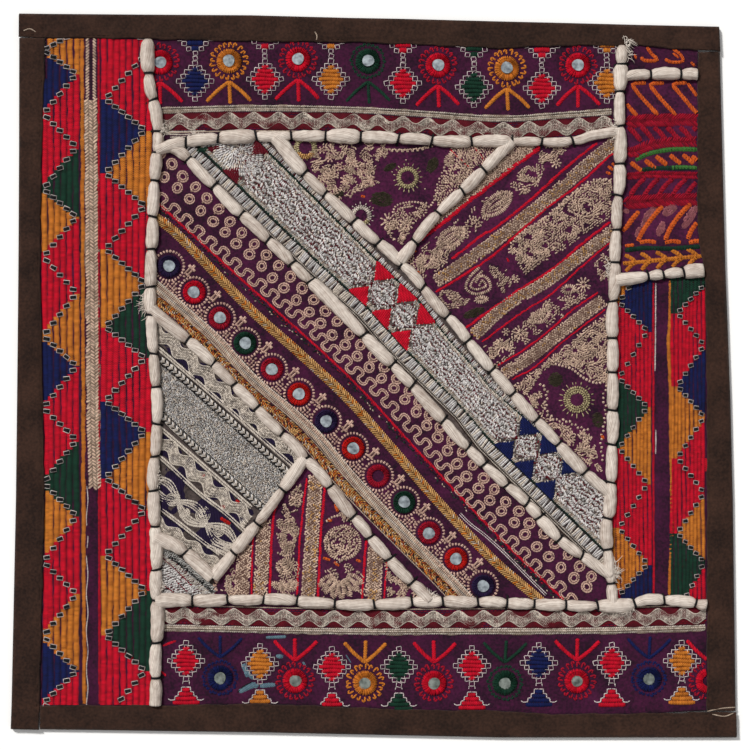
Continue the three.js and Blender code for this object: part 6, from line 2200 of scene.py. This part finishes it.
# The striped trapezoid, stripe by stripe
TRAPEZOID_FIGURES = [
    # Between cord h and the first red line
    (lattice, [(400, 246), (430, 224), (470, 193), (505, 164), (532, 146)], 5.6, "beige", "beige", 0,
     dict(gaps=0.08, sharp=1.1)),
    (curls, [(505, 150), (536, 142), (532, 150), (500, 176), (492, 172)], "beige", 1.6, 0.6, STRIPE_TURN,
     dict(pitch=1.2)),
    (crowd, [(496, 158), (510, 144), (538, 142), (532, 152), (500, 178), (480, 192), (476, 186)],
     STRIPE_TURN, dict(level=1.6)),
    (crowd, [(408, 258), (440, 234), (486, 198), (541, 153), (550, 160), (540, 180), (500, 212), (470, 236),
             (430, 262), (412, 270)], STRIPE_TURN, 1.0, dict(level=-0.15)),
    # Leaves and flowers on the first purple stripe
    (leaf, (497, 204), 35, 17, 0.65),
    (leaf, (451, 238), 32, 15, 0.6),
    (leaf, (425, 262), 16, 9, 0.5),
    (curls, [(519, 172), (535, 163), (541, 176), (538, 186), (524, 188), (515, 182)], "beige", 1.35, 0.7,
     0.3, dict(pitch=1.15)),
    (spray, (525, 188), 6, 6, "beige", 3.6, 2.6),
    (spray, (556, 163), 5.5, 8, "beige"),
    (curls, [(538, 156), (548, 143), (568, 142), (560, 154), (546, 164)], "beige", 1.5, 0.4, STRIPE_TURN,
     dict(pitch=1.2)),
    (spray, (477, 222), 6, 7, "beige"),
    (spray, (466, 232), 5, 6, "beige"),
    (spray, (436, 258), 6, 7, "beige"),
    (spray, (412, 262), 5, 6, "beige"),
    (curls, [(408, 262), (420, 254), (447, 246), (462, 240), (452, 254), (436, 270), (420, 272)], "beige",
     1.5, 0.3, STRIPE_TURN, dict(pitch=1.2)),
    (crowd, [(538, 158), (548, 146), (572, 142), (562, 156), (546, 166)], STRIPE_TURN, dict(level=0.7)),
    (crowd, [(404, 268), (414, 256), (430, 248), (450, 240), (466, 232), (462, 246), (440, 270), (424, 278),
             (410, 276)], STRIPE_TURN, dict(level=0.3)),
    # The wide purple stripe with its big leaf
    (crowd, [(509, 254), (516, 238), (548, 216), (575, 192), (592, 181), (612, 178), (613, 216), (592, 230),
             (560, 252), (540, 264), (526, 276), (519, 264)], STRIPE_TURN, 0.75, dict(level=1.5)),
    (curls, [(509, 251), (516, 236), (548, 214), (575, 190), (596, 180), (612, 182), (611, 204), (590, 226),
             (560, 247), (538, 262), (524, 274), (520, 262)], "beige", 1.5, 0.75, STRIPE_TURN,
             dict(pitch=1.15, pull=0.35)),
    (beads, [(509, 252), (516, 238), (548, 216), (574, 193), (592, 181), (611, 180)], 1.75, 1.4, "beige",
     dict(wave=0.4)),
    (fill, [(487, 265), (508, 269), (516, 277), (504, 296), (496, 282)], 0.9, "beige", 1.6, 1.0,
     dict(level=0.7)),
    (coil, [(479, 268), (470, 277), (466, 288), (476, 294), (490, 289), (488, 279), (480, 276),
            (475, 284)]),
    (leaf, (481.5, 299.5), 12, 5, 0.1, "beige", False),
    (fill, [(440, 291), (452, 290), (470, 299), (464, 306), (452, 310), (438, 302)], 0.1, "beige", 1.6, 1.0,
     dict(level=0.7)),
    (spray, (516, 279), 4, 6, "beige"),
    (chain, [(507, 258), (509, 262)], 1.8, "red", dict(curved=False)),
    (chain, [(414, 250), (416, 252)], 2.1, "orange", dict(curved=False)),
    (chain, [(417, 272), (421, 273)], 2.1, "orange", dict(curved=False)),
    (chain, [(608, 166), (613, 170)], 2.1, "orange", dict(curved=False)),
    (chain, [(606, 172), (611, 174)], 2.1, "orange", dict(curved=False)),
    (chain, [(601, 434), (604, 439)], 2.1, "orange", dict(curved=False)),
    (chain, [(612, 163), (616, 166)], 2.1, "orange", dict(curved=False)),
    (worn_spot, (474, 313), 21, 8, 0.35, "worn"),
    (worn_spot, (555.5, 379.5), 13, 14, 0.0, "worn"),
    (worn_spot, (598, 420), 9, 15, 0.1, "worn"),
    # The purple stripe with stars
    (crowd, [(480, 354), (500, 338), (530, 318), (556, 299), (578, 288), (592, 292), (570, 312), (540, 334),
             (515, 352), (498, 368), (486, 364)], STRIPE_TURN, 0.9, dict(level=0.1)),
    (crowd, [(594, 262), (612, 246), (613, 280), (602, 284)], STRIPE_TURN, dict(level=0.8)),
    (spray, (521, 332.5), 7.5, 10, "beige"),
    (spray, (502, 346), 7, 9, "beige"),
    (spray, (583.5, 284.5), 7.5, 10, "beige"),
    (spray, (571, 300), 5.5, 8, "beige"),
    (spray, (506, 332), 4, 6, "beige"),
    (spray, (549, 303), 4, 5, "beige"),
    (leaf, (540.7, 316), 20, 11, 0.5),
    (leaf, (568.6, 289.3), 13, 7, 0.2),
    (curls, [(484, 346), (500, 338), (512, 342), (508, 352), (496, 362), (486, 356)], "beige", 1.4, 0.5,
     STRIPE_TURN, dict(pitch=1.2)),
    (curls, [(526, 322), (536, 306), (550, 300), (552, 312), (538, 328)], "beige", 1.4, 0.3, STRIPE_TURN,
     dict(pitch=1.2)),
    (fill, [(596, 262), (612, 250), (612, 276), (602, 280)], 0.8, "cream", 2.0, 1.4, dict(level=0.3)),
    # The beige field over the ring flower
    (crowd, [(514, 390), (540, 370), (575, 340), (606, 316), (608, 384), (592, 380), (575, 367), (556, 362),
             (542, 372), (533, 388), (526, 396)], STRIPE_TURN, 0.9, dict(level=1.4)),
    (crowd, [(528, 398), (541, 391), (546, 404), (542, 416), (550, 424), (562, 424), (582, 432), (594, 440),
             (600, 470), (588, 464), (568, 446), (548, 426)], -0.8, 1.0, dict(level=0.7)),
    (curls, [(513, 386), (540, 367), (575, 337), (606, 314), (608, 384), (592, 380), (575, 367), (556, 362),
             (542, 372), (533, 388), (524, 394)], "beige", 1.4, 1.1, STRIPE_TURN,
             dict(pitch=1.15, pull=0.25)),
    (beads, [(556, 364), (572, 369), (584, 378), (597, 383), (608, 380)], 2.0, 1.6, "beige"),
    (beads, [(541, 384), (547, 392), (546, 402), (547, 412), (556, 420), (567, 421), (578, 427),
             (590, 431)], 1.9, 1.5, "beige", dict(wave=0.5)),
    (beads, [(607, 386), (603, 398), (606, 408), (604, 426), (601, 442), (603, 460)], 2.4, 1.4, "beige",
     dict(wave=0.3)),
    (curls, [(528, 396), (540, 392), (544, 402), (541, 414), (532, 406)], "beige", 1.35, 0.8, 1.0,
     dict(pitch=1.15)),
    (curls, [(545, 414), (560, 422), (580, 430), (592, 436), (596, 452), (602, 472), (590, 466), (570, 446),
             (556, 432)], "beige", 1.4, 0.45, -0.8, dict(pitch=1.15)),
    (ring_flower, (577, 399.6), 3.3, 7.9, 10.6),
    (knot, (575, 393), 0.2, 3.0, 1.6, 0.9, "olive", 0.7),
]
# The striped triangle
TRIANGLE_FIGURES = [
    (lattice, [(316, 476), (313.5, 510), (311, 550), (308, 598)], 8.2, "beige", "ochre", 0.3,
     dict(pitch=1.6)),
    (lattice, [(376, 548), (374.5, 570), (373, 602)], 9.0, "beige", "ochre", 0.25),
    (lattice, [(245, 545), (243, 570), (241, 598)], 8.6, "beige", "beige", 0, dict(gaps=0.12)),
    (lattice, [(264, 520), (262, 560), (260, 598)], 8.0, "beige", "ochre", 0.1, dict(gaps=0.12)),
    (curls, [(222, 586), (234, 556), (236, 598), (222, 600)], "beige", 1.6, 0.3, 1.2, dict(pitch=1.2)),
    (crowd, [(226, 580), (240, 562), (240, 598), (222, 600)], 1.3, 1.0, dict(level=0.5)),
    (crowd, [(282, 506), (296, 488), (303, 482), (301, 505), (290, 516), (282, 514)], 1.3, 1.0,
     dict(level=0.6)),
    (crowd, [(278, 522), (286, 514), (294, 518), (299, 528), (297, 542), (291, 556), (300, 566), (281, 566),
             (284, 554), (277, 540)], 1.3, 1.0, dict(level=1.5)),
    (crowd, [(281, 566), (302, 566), (300, 576), (294, 586), (282, 584), (278, 576)], 1.3, 1.0,
     dict(level=0.9)),
    (crowd, [(277, 586), (294, 582), (298, 598), (274, 598)], 1.3, 1.0, dict(level=0.3)),
    (crowd, [(352, 514), (364, 520), (368, 528), (362, 534), (350, 524)], 1.3, 1.0, dict(level=0.7)),
    (crowd, [(322, 574), (336, 560), (350, 560), (364, 574), (366, 596), (344, 584), (322, 600)], 1.3, 1.0,
     dict(level=-0.2)),
    (crowd, [(386, 560), (398, 572), (412, 588), (418, 600), (388, 600)], 1.3, 1.0, dict(level=0.2)),
    (curls, [(284, 502), (296, 486), (304, 484), (302, 502), (298, 511), (286, 510)], "beige", 1.35, 0.7,
     0.6, dict(pitch=1.15)),
    # A vase, a round head and a fan on the purple stripes
    (fill, [(278, 520), (286, 512), (295, 522), (299, 534), (294, 544), (292, 554), (282, 554), (280, 544),
            (276, 532)], 0.6, "beige", 1.5, 1.0, dict(level=0.75, jitter=0.7)),
    (beads, [(278, 553), (286, 556), (295, 553)], 1.6, 1.3, "beige"),
    (wheel, (285, 567), 10.5, 0.85),
    (vase_foot, (277, 283, 290, 294), (285, 586)),
    (wheel, (342.5, 543), 20.0, 0.95),
    (beads, [(327, 521), (333, 517), (345, 515), (352, 519)], 1.7, 1.4, "beige"),
    (curls, [(338, 514), (346, 506), (352, 512), (350, 521), (340, 522)], "beige", 1.4, 0.8, 0.3,
     dict(pitch=1.15)),
    (leaf_fan, (340, 569), 17, 21, (-2.55, -2.2, -1.85, -1.5, -1.15, -0.8, -0.5)),
    (chain, [(335, 504), (338, 512)], 2.0, "orange", dict(curved=False)),
    (chain, [(327, 520), (332, 521)], 2.0, "orange", dict(curved=False)),
    (chain, [(334, 562), (339, 566)], 2.0, "orange", dict(curved=False)),
    (chain, [(323, 558), (330, 560)], 2.0, "orange", dict(curved=False)),
    (chain, [(356, 560), (361, 562)], 2.0, "orange", dict(curved=False)),
    (curls, [(384, 560), (396, 568), (412, 588), (420, 600), (388, 600)], "beige", 1.6, 0.35, -0.7,
     dict(pitch=1.2)),
    (corner_beads,),
]


# Each patch: its ground cloth, its material slot and the function that sews it
DRESSING = {
    "left_panel": ("purple cloth", "satin_red", left_panel),
    "right_panel": ("purple cloth", "satin_red", right_panel),
    "top_strip": ("purple cloth", "purple_cloth", top_strip),
    "bottom_strip": ("purple cloth", "purple_cloth", bottom_strip),
    "edge_patch": ("purple cloth", "purple_cloth", edge_patch),
    "leaf_patch": ("plum cloth", "leaf_cloth", leaf_patch),
    "upper_triangle": ("plum cloth", "purple_cloth", upper_triangle),
    "striped_trapezoid": ("plum cloth", "beige_embroidery", striped_trapezoid),
    "silver_band": ("grey cloth", "silver_embroidery", silver_band),
    "mirror_band": ("purple cloth", "purple_cloth", mirror_band),
    "silver_patch": ("grey cloth", "silver_embroidery", silver_patch),
    "striped_triangle": ("plum cloth", "beige_embroidery", striped_triangle),
    "corner_patch": ("grey cloth", "silver_embroidery", corner_patch),
}


WORLD_LIGHT = 0.42
SUN_LIGHT = 2.9
SUN_FROM = (-0.5, 0.62, 0.85)
TABLE_HALF = 4.0  # metres
SENSOR, LENS = 36, 100


def light_and_camera():
    """A pale table, soft light from the upper left, and a camera straight above the mat."""
    me = bpy.data.meshes.new("table")
    half = TABLE_HALF
    me.from_pydata([(-half, -half, 0), (half, -half, 0), (half, half, 0), (-half, half, 0)], [],
                   [(0, 1, 2, 3)])
    table = bpy.data.objects.new("table", me)
    table.location.z = -0.0002
    bpy.context.scene.collection.objects.link(table)
    n = Nodes("table top")
    tone = n.math("ADD", n.math("MULTIPLY", n.noise(3, 2), 0.02), 0.97, clamp=True)
    me.materials.append(n.finish(n.between(tone, linear((236, 236, 236)), linear((254, 254, 254))), 0.9,
                                 0.0, 0.1))
    world = bpy.data.worlds.new("studio")
    bpy.context.scene.world = world
    world.use_nodes = True
    world.node_tree.nodes["Background"].inputs["Color"].default_value = (1.0, 0.99, 0.98, 1)
    world.node_tree.nodes["Background"].inputs["Strength"].default_value = WORLD_LIGHT
    sun = bpy.data.lights.new("sun", "SUN")
    sun.energy = SUN_LIGHT
    sun.angle = math.radians(9)
    sun.color = (1.0, 0.985, 0.96)
    lamp = bpy.data.objects.new("sun", sun)
    lamp.rotation_euler = Vector(SUN_FROM).to_track_quat("Z", "Y").to_euler()
    bpy.context.scene.collection.objects.link(lamp)
    cam = bpy.data.cameras.new("camera")
    cam.sensor_width = SENSOR
    cam.lens = LENS
    away = cam.lens * FRAME_PX * PX / cam.sensor_width
    middle = px([(FRAME_PX / 2, FRAME_PX / 2)])[0] * MM
    view = bpy.data.objects.new("camera", cam)
    view.location = (middle[0], middle[1], (away + 3.0) * MM)
    cam.clip_start = 0.05
    bpy.context.scene.collection.objects.link(view)
    bpy.context.scene.camera = view
    bpy.context.scene.view_settings.view_transform = "Standard"


light_and_camera()
bind_edges()
for seam_name, seam in SEAMS.items():
    couched_cord(seam_name, **seam)
frayed_ends()
for patch, (cloth, slot, maker) in DRESSING.items():
    work = Work(patch + "_stitches", walk(PATCHES[patch]))
    maker(work)
    sewn = work.build()
    ground_cloth(patch, cloth)
for row, centres in MIRRORS.items():
    for index, centre in enumerate(centres):
        mirror_disc(f"{row}_{index + 1}", centre, 31 * index + len(row), row == "mirror_bottom")
